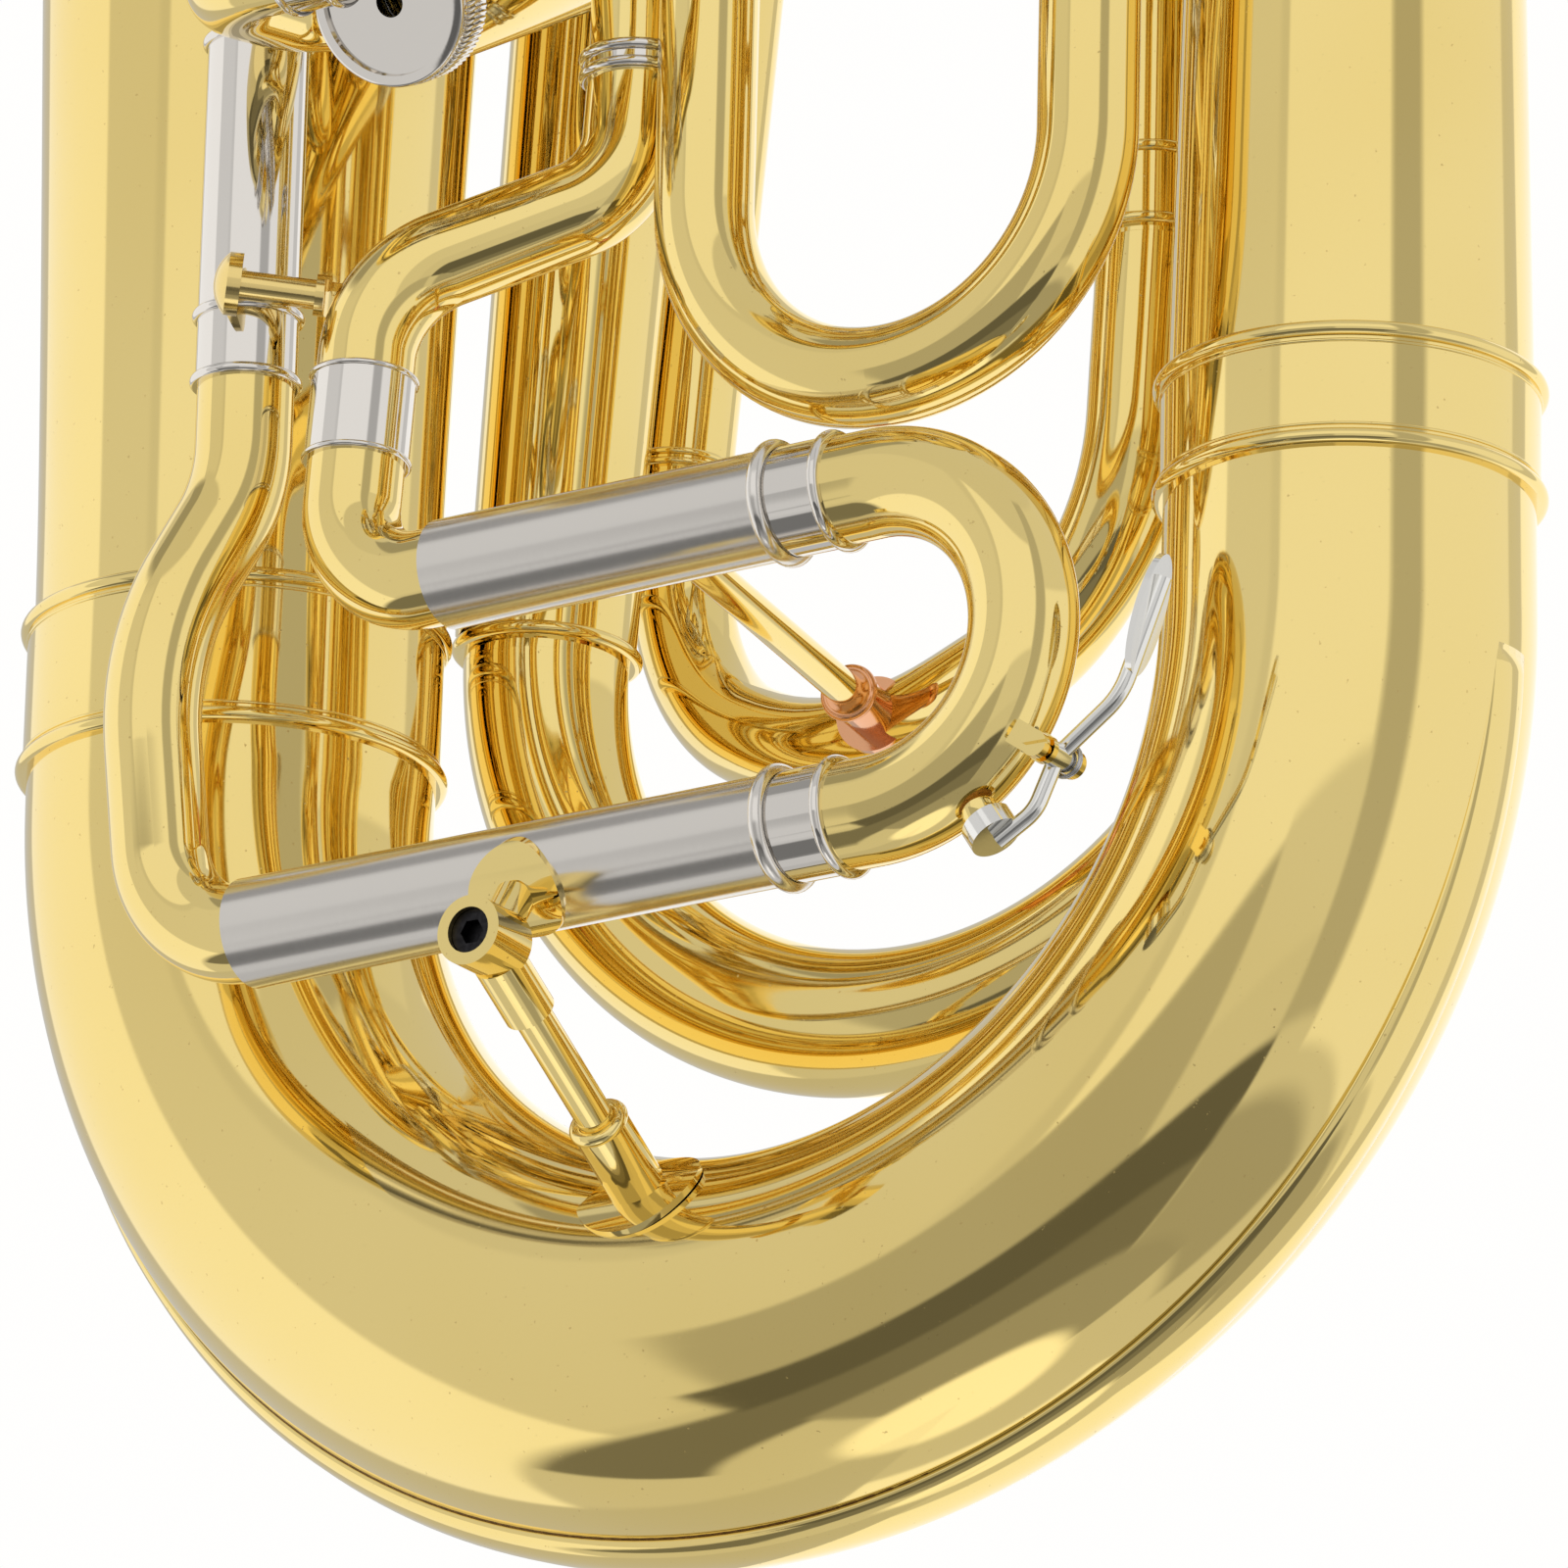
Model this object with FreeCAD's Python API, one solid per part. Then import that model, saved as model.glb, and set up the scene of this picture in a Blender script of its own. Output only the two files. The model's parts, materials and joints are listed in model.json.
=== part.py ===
import FreeCAD, Part
import math
import os

# A four-valve front-action bass tuba.  Millimetres, +Z up, +Y towards the finger buttons.
# The origin is the lowest point of the guard under the bottom bow; save() moves each piece
# there from the lines the drawing is measured from.

V = FreeCAD.Vector
UP = V(0, 0, 1)
DOWN = V(0, 0, -1)
RIGHT = V(1, 0, 0)
LEFT = V(-1, 0, 0)
FRONT = V(0, 1, 0)
BACK = V(0, -1, 0)

# ---- driving dimensions -------------------------------------------------------------------
BOW_HEIGHT = 174.0          # centre of the bottom bow above its lowest point
BELL_X = -135.4             # bell axis
BRANCH_X = 126.5            # outer branch axis
BOW_X = (BELL_X + BRANCH_X) / 2
BOW_R = (BRANCH_X - BELL_X) / 2
WALL = 0.9                  # sheet and tube wall
THIN = 0.05                 # running clearance on a radius
OVERALL = 980.0             # height to the bell rim
BELL_RIM = 200.0            # radius of the bell at its rim
SLIDE_R = 11.0              # outside radius of the nickel slide tubes
LEG_R = SLIDE_R - 0.45      # inside radius of those tubes
INNER_LEG_R = LEG_R - THIN  # outside radius of the legs that run in them
LEG_WALL = 0.6
PIPE_R = 10.4               # outside radius of the brass crooks
SLIDE_TILT = math.radians(1.3)
TOP_BOW_Z = 560.0
SECOND_BOW_Z = 480.0
GUARD_PROUD = 3.84          # the guard stands this far out of the bottom bow
CENTRING = V(-BOW_X, 0, 0)  # from the drawing's lines to the origin under the bottom bow

VALVE_LEAN = math.radians(30.0)
VALVE_AXIS = V(0, math.cos(VALVE_LEAN), math.sin(VALVE_LEAN))
VALVE_X = -41.0
VALVE_Y = -88.0             # player's end of the casings
LOWEST_VALVE = 305.0        # height of that end for the fourth valve
VALVE_PITCH = 44.0          # upright distance from one valve to the next
CASING_LENGTH = 91.0
CASING_R = 15.5
PISTON_R = 13.95
CAP_R = 17.0
PORT_R = 9.6                # outside radius of the tubes that enter the casings


# ---- shapes ------------------------------------------------------------------------------
def ring_face(centre, along, outer, inner):
    disc = Part.Face(Part.Wire([Part.makeCircle(outer, centre, along)]))
    if inner <= 0:
        return disc
    hole = Part.Face(Part.Wire([Part.makeCircle(inner, centre, along)]))
    return disc.cut(hole).Faces[0]


def joined(shapes):
    if len(shapes) == 1:
        return shapes[0]
    return shapes[0].multiFuse(shapes[1:]).removeSplitter()


def unit(vector):
    return V(vector).normalize()


def corners(points, radii):
    """Each inner corner of a route: arc start, turn axis, arc centre, turn in degrees, arc end."""
    found = []
    for before, corner, after, radius in zip(points, points[1:], points[2:], radii):
        inward = unit(corner - before)
        outward = unit(after - corner)
        turn = math.acos(max(-1.0, min(1.0, inward.dot(outward))))
        reach = radius * math.tan(turn / 2)
        start = corner - inward * reach
        axis = unit(inward.cross(outward))
        found.append((start, axis, start + axis.cross(inward) * radius, math.degrees(turn),
                      corner + outward * reach))
    return found


def bent_tube(points, radii, outer, wall=WALL):
    """A tube of one bore along straight runs joined by tangent arcs; wall 0 makes a rod."""
    inner = outer - wall if wall else 0
    pieces = []
    here = points[0]
    for (start, axis, centre, turn, end), corner in zip(corners(points, radii), points[1:]):
        along = unit(corner - here)
        if (start - here).Length > 0.01:
            pieces.append(ring_face(here, along, outer, inner).extrude(start - here))
        pieces.append(ring_face(start, along, outer, inner).revolve(centre, axis, turn))
        here = end
    along = unit(points[-1] - here)
    if (points[-1] - here).Length > 0.01:
        pieces.append(ring_face(here, along, outer, inner).extrude(points[-1] - here))
    return joined(pieces)


def stations(points, radii, gap=20.0):
    """Places and directions at even steps along a route, for a tapered skin."""
    found = [(points[0], unit(points[1] - points[0]))]

    def run_to(there, along):
        here = found[-1][0]
        steps = int(round((there - here).Length / gap))
        for k in range(1, steps + 1):
            found.append((here + (there - here) * (k / steps), along))

    for (start, axis, centre, turn, end), corner in zip(corners(points, radii), points[1:]):
        along = found[-1][1]
        run_to(start, along)
        spokes = max(1, int(round(math.radians(turn) * (start - centre).Length / gap)))
        for k in range(1, spokes + 1):
            swing = FreeCAD.Rotation(axis, turn * k / spokes)
            found.append((centre + swing.multVec(start - centre), swing.multVec(along)))
    run_to(points[-1], found[-1][1])
    return found


def skin(rows):
    """A loft through circles whose seams are carried along without twist."""
    first = rows[0][1]
    spoke = unit(first.cross(FRONT if abs(first.y) < 0.9 else RIGHT))
    rims = []
    for place, along, radius in rows:
        spoke = unit(spoke - along * spoke.dot(along))
        rim = Part.Wire([Part.makeCircle(radius)])
        frame = FreeCAD.Rotation(spoke, along.cross(spoke), along, "ZXY")
        rim.Placement = FreeCAD.Placement(place, frame)
        rims.append(rim)
    return Part.makeLoft(rims, True, False)


def tapered_tube(places, start_r, end_r, wall=WALL):
    """A conical tube through places, its radius changing evenly with the distance run."""
    run = [0.0]
    for (a, _), (b, _) in zip(places, places[1:]):
        run.append(run[-1] + (b - a).Length)
    rows = [(place, along, start_r + (end_r - start_r) * s / run[-1])
            for (place, along), s in zip(places, run)]
    return skin(rows).cut(skin([(p, a, r - wall) for p, a, r in rows]))


def half_bow(start, end, bulge, count=13, before=0.0, after=0.0):
    """Places round a half circle from start to end, with straight ends if asked."""
    middle = (start + end) * 0.5
    across = start - middle
    out = V(bulge) * across.Length
    found = []
    if before:
        found.append((start - V(bulge) * before, V(bulge)))
    for k in range(count):
        t = math.pi * k / (count - 1)
        found.append((middle + across * math.cos(t) + out * math.sin(t),
                      unit(out * math.cos(t) - across * math.sin(t))))
    if after:
        found.append((end - V(bulge) * after, V(bulge) * -1))
    return found


def cone_tube(start, end, start_r, end_r, wall=WALL):
    axis = end - start
    outer = Part.makeCone(start_r, end_r, axis.Length, start, axis)
    return outer.cut(Part.makeCone(start_r - wall, end_r - wall, axis.Length, start, axis))


def band(start, along, length, outer, inner):
    return ring_face(start, along, outer, inner).extrude(unit(along) * length)


def bead(centre, along, ring_r, wire_r):
    return Part.makeTorus(ring_r, wire_r, centre, along)


def ferrule(start, along, length, tube_r, skin_t=0.9, wire_r=1.5):
    """A sleeve with a round bead at both ends, fitted on a tube of radius tube_r."""
    step = unit(along)
    outer = tube_r + skin_t
    body = [band(start, along, length, outer, tube_r)]
    core = Part.makeCylinder(tube_r, length + 8 * wire_r, start - step * 4 * wire_r, step)
    for place in (start + step * wire_r, start + step * (length - wire_r)):
        body.append(bead(place, along, outer + wire_r * 0.1, wire_r).cut(core))
    return joined(body)


def rod(start, end, radius):
    return Part.makeCylinder(radius, (end - start).Length, start, end - start)


def pad_on_tube(foot, out, tube_axis, tube_r, radius, thick=1.2):
    """A round brace flange that wraps the surface of a tube; foot is on the tube's axis."""
    disc = Part.makeCylinder(radius, tube_r + thick, foot, out)
    shell = Part.makeCylinder(tube_r + thick, 4 * radius, foot - unit(tube_axis) * 2 * radius, tube_axis)
    core = Part.makeCylinder(tube_r, 4 * radius, foot - unit(tube_axis) * 2 * radius, tube_axis)
    return disc.common(shell).cut(core)


def coil_spring(coil_r, wire_r, pitch, turns, steps=14):
    """A helix of eight-sided wire, with straight-sided faces that a mesh can follow."""
    rims = []
    for k in range(int(turns * steps) + 1):
        turn = 2 * math.pi * k / steps
        out = V(math.cos(turn), math.sin(turn), 0)
        middle = out * coil_r + UP * (pitch * k / steps)
        rim = []
        for side in range(9):
            lean = 2 * math.pi * side / 8
            rim.append(middle + out * (wire_r * math.cos(lean)) + UP * (wire_r * math.sin(lean)))
        rims.append(Part.makePolygon(rim))
    return Part.makeLoft(rims, True, True)


def save(name, *shapes):
    whole = shapes[0] if len(shapes) == 1 else Part.makeCompound(list(shapes))
    whole.translate(CENTRING)
    if not whole.isValid():
        print("not valid:", name)
    whole.exportStep("parts/" + name + ".step")
    print(name, "solids", len(whole.Solids), "volume", round(whole.Volume))


# ---- bell, bows and branches --------------------------------------------------------------
BOW_LEFT_R = 42.0
BOW_RIGHT_R = 36.4
BELL_START = BOW_HEIGHT + 8.0
BOW_RIGHT_TOP = BOW_HEIGHT + 25.0


def bell():
    flare = [(41.4, BELL_START), (42.0, 240), (45.3, 340), (49.6, 450), (55.0, 560), (64.0, 670),
             (78.0, 770), (100.0, 850), (133.0, 915), (168.0, 955), (BELL_RIM, OVERALL - 4.0)]

    def curve(shrink):
        line = Part.BSplineCurve()
        line.interpolate([V(r - shrink, 0, z) for r, z in flare])
        return line.toShape()

    outer = curve(0.0)
    inner = curve(WALL)
    low = Part.makeLine(V(flare[0][0], 0, flare[0][1]), V(flare[0][0] - WALL, 0, flare[0][1]))
    high = Part.makeLine(V(flare[-1][0], 0, flare[-1][1]), V(flare[-1][0] - WALL, 0, flare[-1][1]))
    face = Part.Face(Part.Wire(Part.__sortEdges__([outer, high, inner, low])))
    solid = face.revolve(V(0, 0, 0), UP, 360)
    solid.translate(V(BELL_X, 0, 0))
    save("bell", solid)


def bell_rim_wire():
    centre = V(BELL_X, 0, OVERALL - 3.5)
    ring = bead(centre, UP, BELL_RIM + 1.2, 3.5)
    flat = Part.makeCylinder(BELL_RIM + 20, 10, centre + UP * 3.1)
    seat = Part.makeCylinder(BELL_RIM, 3.6, centre - UP * 3.6)
    save("bell_rim_wire", ring.cut(flat).cut(seat))


def bottom_bow():
    places = half_bow(V(BELL_X, 0, BOW_HEIGHT), V(BRANCH_X, 0, BOW_HEIGHT), DOWN, 17, 7.6, 24.7)
    save("bottom_bow", tapered_tube(places, BOW_LEFT_R, BOW_RIGHT_R))


def bottom_bow_guard():
    """A half-round strip soldered along the outermost line of the bottom bow."""
    first, last, count = math.radians(6), math.radians(176), 15
    half_width = 9.0
    sections = []
    for k in range(count):
        t = first + (last - first) * k / (count - 1)
        tube_r = BOW_LEFT_R + (BOW_RIGHT_R - BOW_LEFT_R) * t / math.pi
        out = V(-math.cos(t), 0, -math.sin(t))
        centre = V(BOW_X, 0, BOW_HEIGHT) + out * BOW_R
        lean = half_width / tube_r
        side = FRONT * (tube_r * math.sin(lean))
        base = centre + out * (tube_r * math.cos(lean))
        fade = math.sin(math.pi * (k + 0.35) / (count - 0.3)) ** 0.4
        keel = centre + out * (tube_r + GUARD_PROUD * fade)
        arc = Part.Arc(base - side, keel, base + side).toShape()
        seat = Part.Arc(base + side, centre + out * tube_r, base - side).toShape()
        sections.append(Part.Wire([arc, seat]))
    save("bottom_bow_guard", Part.makeLoft(sections, True, False))


def branch_radius(z):
    return BOW_RIGHT_R - 0.0225 * (z - BOW_RIGHT_TOP)


def bell_and_branch_ferrules():
    save("bell_ferrule", ferrule(V(BELL_X, 0, BOW_HEIGHT + 6.5), UP, 33.2, BOW_LEFT_R, 0.9, 1.7))
    save("branch_ferrule", ferrule(V(BRANCH_X, 0, BOW_HEIGHT + 23.2), UP, 25.2, BOW_RIGHT_R, 0.9, 1.7))


def outer_branch():
    low = V(BRANCH_X, 0, BOW_RIGHT_TOP)
    high = V(BRANCH_X, 0, TOP_BOW_Z)
    save("outer_branch", cone_tube(low, high, branch_radius(low.z), branch_radius(high.z)))


INNER_TOP = V(-76, 60, TOP_BOW_Z)
INNER_LOW = V(-91, 48.6, 214)
INNER_FAR = V(87, 48.6, 214)
SECOND_START = V(87, 48.6, SECOND_BOW_Z)
SECOND_END = V(-72, 97, SECOND_BOW_Z)
SMALL_LOW = V(-78.5, 79, 262)
SMALL_FAR = V(66, 25, 272)
SMALL_R = 10.7
SMALL_ROUTE = [SMALL_LOW, V(-77, 79, 212), V(-20, 54, 182), V(60, 29, 200), SMALL_FAR]
EXIT_TOP = V(66, 25, 470)


def leaning_cone(high, low, high_r, low_r):
    """A conical branch kept clear of the square ends of the bows it joins."""
    way = unit(low - high)
    return cone_tube(high + way * 1.4, low - way * 1.4, high_r, low_r)


def inner_bores():
    start_r = branch_radius(TOP_BOW_Z)
    top = half_bow(V(BRANCH_X, 0, TOP_BOW_Z), INNER_TOP, UP)
    save("top_bow", tapered_tube(top, start_r, 22.0))
    save("inner_branch", leaning_cone(INNER_TOP, INNER_LOW, 22.0, 17.2))
    save("inner_bottom_bow", tapered_tube(half_bow(INNER_LOW, INNER_FAR, DOWN), 17.2, 12.5))
    save("inner_up_branch", cone_tube(INNER_FAR, SECOND_START, 12.5, 12.0))
    save("second_top_bow", tapered_tube(half_bow(SECOND_START, SECOND_END, UP), 12.0, 11.6))
    save("small_down_branch", leaning_cone(SECOND_END, SMALL_LOW, 11.6, SMALL_R))
    save("small_bottom_bow", bent_tube(SMALL_ROUTE, [52, 98, 50], SMALL_R))


def bore_ferrules():
    """Sleeves that cover the joints of the inner tubes."""
    lean = unit(INNER_TOP - INNER_LOW)
    rise = unit(SECOND_END - SMALL_LOW)
    rings = [
        ferrule(V(BRANCH_X, 0, TOP_BOW_Z - 14), UP, 28, branch_radius(TOP_BOW_Z - 14) + 0.2),
        ferrule(INNER_TOP - lean * 16, lean, 30, 22.0),
        ferrule(INNER_LOW + lean * 1, lean, 22, 17.5),
        ferrule(INNER_FAR + UP * 2, UP, 22, 12.5),
        ferrule(SECOND_START - UP * 20, UP, 20, 12.1),
        ferrule(SECOND_END - rise * 20, rise, 20, 11.6),
        ferrule(SMALL_LOW, rise, 4, SMALL_R + 0.1, 0.5, 0.8),
        ferrule(SMALL_FAR, UP, 18, SMALL_R, 0.8, 1.2),
        ferrule(EXIT_TOP - UP * 18, UP, 18, SMALL_R, 0.8, 1.2),
    ]
    save("bore_ferrules", *rings)


# ---- leadpipe, crooks and main tuning slide ------------------------------------------------
SLIDE_WAY = V(math.cos(SLIDE_TILT), 0, math.sin(SLIDE_TILT))
SLIDE_Y = -70.0
LOWER_START = V(-81, SLIDE_Y, 121.0)
LOWER_LENGTH = 125.3
UPPER_START = V(-37.5, SLIDE_Y, 188.7)
UPPER_LENGTH = 79.5
BOW_REACH = 18.0            # from the lower tube's open end to where the slide's bow bends
SLEEVE_LOW = V(-90, -66, 252)
SLEEVE_HIGH = V(-90, -66, 313)
LEADPIPE_ROUTE = [SLEEVE_HIGH, V(-90, -66, 560), V(-90, -82, 640), V(-42, -118, 640)]
CROOK_R = 9.8
FEED = V(-13.5, -43.5, 300)
CROOK_ROUTE = [UPPER_START, UPPER_START - SLIDE_WAY * 24.5, V(-60.3, -65.5, 255),
               V(-14.5, -44.5, 274), FEED]


def leadpipe():
    save("leadpipe", tapered_tube(stations(LEADPIPE_ROUTE, [80, 40]), 9.8, 6.9))
    mouth = LEADPIPE_ROUTE[-1]
    way = unit(mouth - LEADPIPE_ROUTE[-2])
    shell = Part.makeCone(9.0, 10.5, 34, mouth - way * 8, way)
    lip = bead(mouth + way * 24.5, way, 10.2, 1.5)
    bore = Part.makeCylinder(6.5, 27, mouth - way * 0.5, way)
    pocket = Part.makeCylinder(7.1, 8, mouth - way * 8, way)
    save("mouthpiece_receiver", shell.fuse(lip).cut(bore).cut(pocket))


def leadpipe_sleeve():
    tube = bent_tube([SLEEVE_LOW, SLEEVE_HIGH], [], 10.3, 0.5)
    rings = [bead(SLEEVE_HIGH - UP * 1.0, UP, 10.3, 1.1),
             bead(SLEEVE_LOW + UP * 1.0, UP, 10.3, 1.1),
             bead(SLEEVE_LOW - UP * 13.0, UP, 10.3, 1.1)]
    skirt = band(SLEEVE_LOW - UP * 14.0, UP, 14.0, 10.3, 9.8)
    core = Part.makeCylinder(9.8, 90, SLEEVE_LOW - UP * 16)
    save("leadpipe_sleeve", joined([tube, skirt] + [ring.cut(core) for ring in rings]))


def lower_crook():
    turn = LOWER_START - SLIDE_WAY * 20
    route = [V(-90, -66, 251.5), V(-90, -66, 216), V(turn.x, -81, 180), turn, LOWER_START]
    save("lower_crook", bent_tube(route, [40, 60, 19.5], CROOK_R))


def tuning_outer_tubes():
    tubes = []
    for start, length in ((LOWER_START, LOWER_LENGTH), (UPPER_START, UPPER_LENGTH)):
        tube = band(start, SLIDE_WAY, length, SLIDE_R, LEG_R)
        ring = bead(start + SLIDE_WAY * (length - 1.7), SLIDE_WAY, SLIDE_R + 0.7, 1.7)
        core = Part.makeCylinder(LEG_R, 12, start + SLIDE_WAY * (length - 6), SLIDE_WAY)
        tubes.append(tube.fuse(ring.cut(core)))
    save("tuning_outer_tubes", *tubes)


SLIDE_BOW_R = PIPE_R + 0.3
SLIDE_LEG = 70.0
COLLAR = 12.5
DRAIN_TURN = -58            # degrees round the slide's bow to the drain hole
PIVOT_TURN = -36            # and to the pivot of its key


def slide_bow_frame():
    """Ends of the outer tubes, middle of the bow's half circle, its radius, and its up."""
    low = LOWER_START + SLIDE_WAY * LOWER_LENGTH
    high = UPPER_START + SLIDE_WAY * UPPER_LENGTH
    bend_low = low + SLIDE_WAY * BOW_REACH
    bend_high = high + SLIDE_WAY * (SLIDE_WAY.dot(bend_low - high))
    across = bend_high - bend_low
    return low, high, (bend_low + bend_high) * 0.5, across.Length / 2, unit(across)


def main_slide():
    low, high, middle, half, top = slide_bow_frame()
    legs = []
    for end in (low, high):
        bore = INNER_LEG_R - LEG_WALL
        leg = band(end - SLIDE_WAY * SLIDE_LEG, SLIDE_WAY, SLIDE_LEG + COLLAR, INNER_LEG_R, bore)
        collar = band(end + SLIDE_WAY * 0.4, SLIDE_WAY, COLLAR - 0.4, SLIDE_R, INNER_LEG_R)
        ring = bead(end + SLIDE_WAY * (COLLAR - 1.2), SLIDE_WAY, SLIDE_R, 1.2)
        core = Part.makeCylinder(bore, 30, end, SLIDE_WAY)
        legs.append(joined([leg, collar, ring.cut(core)]))
    save("main_slide_legs", *legs)
    out = SLIDE_WAY * half
    route = [low + SLIDE_WAY * COLLAR, middle - top * half + out, middle + top * half + out,
             high + SLIDE_WAY * COLLAR]
    bow = bent_tube(route, [half, half], SLIDE_BOW_R)
    drain = math.radians(DRAIN_TURN)
    way = SLIDE_WAY * math.cos(drain) + top * math.sin(drain)
    nipple = rod(middle + way * (half + SLIDE_BOW_R - 1.3), middle + way * (half + SLIDE_BOW_R + 2.3), 3.6)
    save("main_slide_bow", bow.fuse(nipple))


def by_the_bow(angle, height, y=SLIDE_Y):
    """A place at an angle round the slide's bow and a height above its outer line."""
    _, _, middle, half, top = slide_bow_frame()
    turn = math.radians(angle)
    radius = half + SLIDE_BOW_R + height
    place = middle + SLIDE_WAY * (radius * math.cos(turn)) + top * (radius * math.sin(turn))
    return V(place.x, y, place.z)


def water_key_saddle(pivot):
    _, _, middle, half, _ = slide_bow_frame()
    core = Part.makeTorus(half, SLIDE_BOW_R, middle, FRONT)
    pieces = []
    for side in (-1, 1):
        foot = by_the_bow(PIVOT_TURN, -2.5, SLIDE_Y + side * 5.2)
        head = by_the_bow(PIVOT_TURN, 6.2, SLIDE_Y + side * 5.2)
        post = Part.makeBox(5.0, 1.6, (head - foot).Length, V(-2.5, -0.8, 0))
        post.Placement = FreeCAD.Placement(foot, FreeCAD.Rotation(UP, head - foot))
        eye = Part.makeCylinder(2.9, 1.6, head + BACK * 0.8, FRONT)
        pieces.append(post.fuse(eye).cut(core))
    pieces.append(Part.makeCylinder(1.25, 15.0, pivot + BACK * 7.6, FRONT))
    slot = Part.makeBox(6, 0.9, 0.8, pivot + V(-3, -9.1, -0.4))
    pieces.append(Part.makeCylinder(2.6, 1.8, pivot + BACK * 9.0, FRONT).cut(slot))
    save("water_key_saddle", joined(pieces))


def paddle(start, end, width):
    """The leaf-shaped finger plate at the end of the lever."""
    leaf = Part.makeCylinder(width / 2, 1.4, V(0, 0, -0.7), UP)
    squash = FreeCAD.Matrix()
    squash.scale((end - start).Length / width, 1, 1)
    leaf = leaf.transformGeometry(squash)
    way = unit(end - start)
    turn = FreeCAD.Rotation(way, FRONT, way.cross(FRONT), "ZXY")
    leaf.Placement = FreeCAD.Placement((start + end) * 0.5, turn).multiply(leaf.Placement)
    return leaf


def water_key():
    """Sprung key that opens the drain hole on the outside of the tuning slide bow."""
    pivot = by_the_bow(PIVOT_TURN, 6.2)
    water_key_saddle(pivot)
    cup_back = by_the_bow(DRAIN_TURN, 7.2)
    inward = unit(by_the_bow(DRAIN_TURN, 0) - cup_back)
    cup = Part.makeCylinder(5.2, 4.2, cup_back, inward)
    cup = cup.cut(Part.makeCylinder(4.3, 3.4, cup_back + inward * 1.2, inward))
    arm = bent_tube([cup_back - inward * 0.9, by_the_bow(-48, 9.3), pivot, by_the_bow(-20, 14.0),
                     by_the_bow(2, 20.0)], [8, 3, 14], 1.7, 0)
    hub = Part.makeCylinder(2.6, 8.0, pivot + BACK * 4.0, FRONT)
    hole = Part.makeCylinder(1.3, 9.0, pivot + BACK * 4.5, FRONT)
    blade = paddle(by_the_bow(-16, 15.2), by_the_bow(6, 20.8), 9.0)
    save("water_key_lever", joined([cup, arm.cut(hole), hub.cut(hole), blade]))
    save("water_key_cork", Part.makeCylinder(4.2, 3.1, cup_back + inward * 1.3, inward))
    spring = coil_spring(3.3, 0.3, 0.7, 2.0)
    spring.Placement = FreeCAD.Placement(pivot + FRONT * 2.35, FreeCAD.Rotation(UP, FRONT))
    save("water_key_spring", spring)
    print("water key pivot", pivot + CENTRING)


def upper_crook():
    save("upper_crook", bent_tube(CROOK_ROUTE, [18.5, 24, 17], CROOK_R))
    rise = unit(CROOK_ROUTE[2] - CROOK_ROUTE[1])
    front = V(-52, -112, 306)
    climb = unit(V(42, 0, 12))
    save("crook_ferrules", ferrule(CROOK_ROUTE[1] + rise * 28, rise, 19, CROOK_R, 0.7, 0.6),
         ferrule(FEED - UP * 3.2, UP, 6.4, CROOK_R, 0.7, 1.2),
         ferrule(front, RIGHT, 12, PORT_R, 0.6, 0.8),
         ferrule(V(-30, -112, 306) + climb * 7, climb, 5, PORT_R, 0.6, 0.8))


# ---- valves -------------------------------------------------------------------------------
# Ports are (side, y) on each casing; the knuckles pass air from one casing to the next.
PORTS = {1: [("right", -68.0), ("right", -43.5), ("right", -24.0)],
         2: [("right", -66.0), ("right", -23.0)],
         3: [("right", -66.0), ("right", -24.0)],
         4: [("left", -73.5), ("left", -46.0), ("left", -22.5)]}
WAYS = {"right": RIGHT, "left": LEFT}
KNUCKLES = {2: -34.0, 3: -56.0, 4: -34.0}
CAP_SKIRT = 5.0
CAP_END = 6.0
STEM = 24.0


def valve_base(number):
    return V(VALVE_X, VALVE_Y, LOWEST_VALVE + VALVE_PITCH * (4 - number))


def port(number, y):
    """The point of a valve's axis at a given y."""
    base = valve_base(number)
    return V(base.x, y, base.z + (y - base.y) * math.tan(VALVE_LEAN))


def on_valve(number, shape):
    """Moves a shape drawn up the Z axis onto a valve's axis."""
    placed = shape.copy()
    home = FreeCAD.Placement(valve_base(number), FreeCAD.Rotation(UP, VALVE_AXIS))
    placed.Placement = home.multiply(shape.Placement)
    return placed


def clear_of_casings(shape):
    for number in range(1, 5):
        shape = shape.cut(on_valve(number, Part.makeCylinder(CASING_R, CASING_LENGTH)))
    return shape


def knuckle(number, outer):
    return Part.makeCylinder(outer, VALVE_PITCH - 18, port(number, KNUCKLES[number]) + UP * 9)


def valve_casings():
    for number in range(1, 5):
        shell = Part.makeCylinder(CASING_R, CASING_LENGTH)
        shell = on_valve(number, shell.cut(Part.makeCylinder(PISTON_R + THIN, CASING_LENGTH)))
        for way, y in PORTS[number]:
            shell = shell.cut(Part.makeCylinder(PORT_R - WALL, 20, port(number, y), WAYS[way]))
        for link in (number, number + 1):
            if link in KNUCKLES:
                shell = shell.cut(knuckle(link, 8.0))
        save("valve_casing_%d" % number, shell)
    links = [knuckle(number, 8.9).cut(knuckle(number, 8.0)) for number in KNUCKLES]
    save("valve_knuckles", *[clear_of_casings(link) for link in links])


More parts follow.
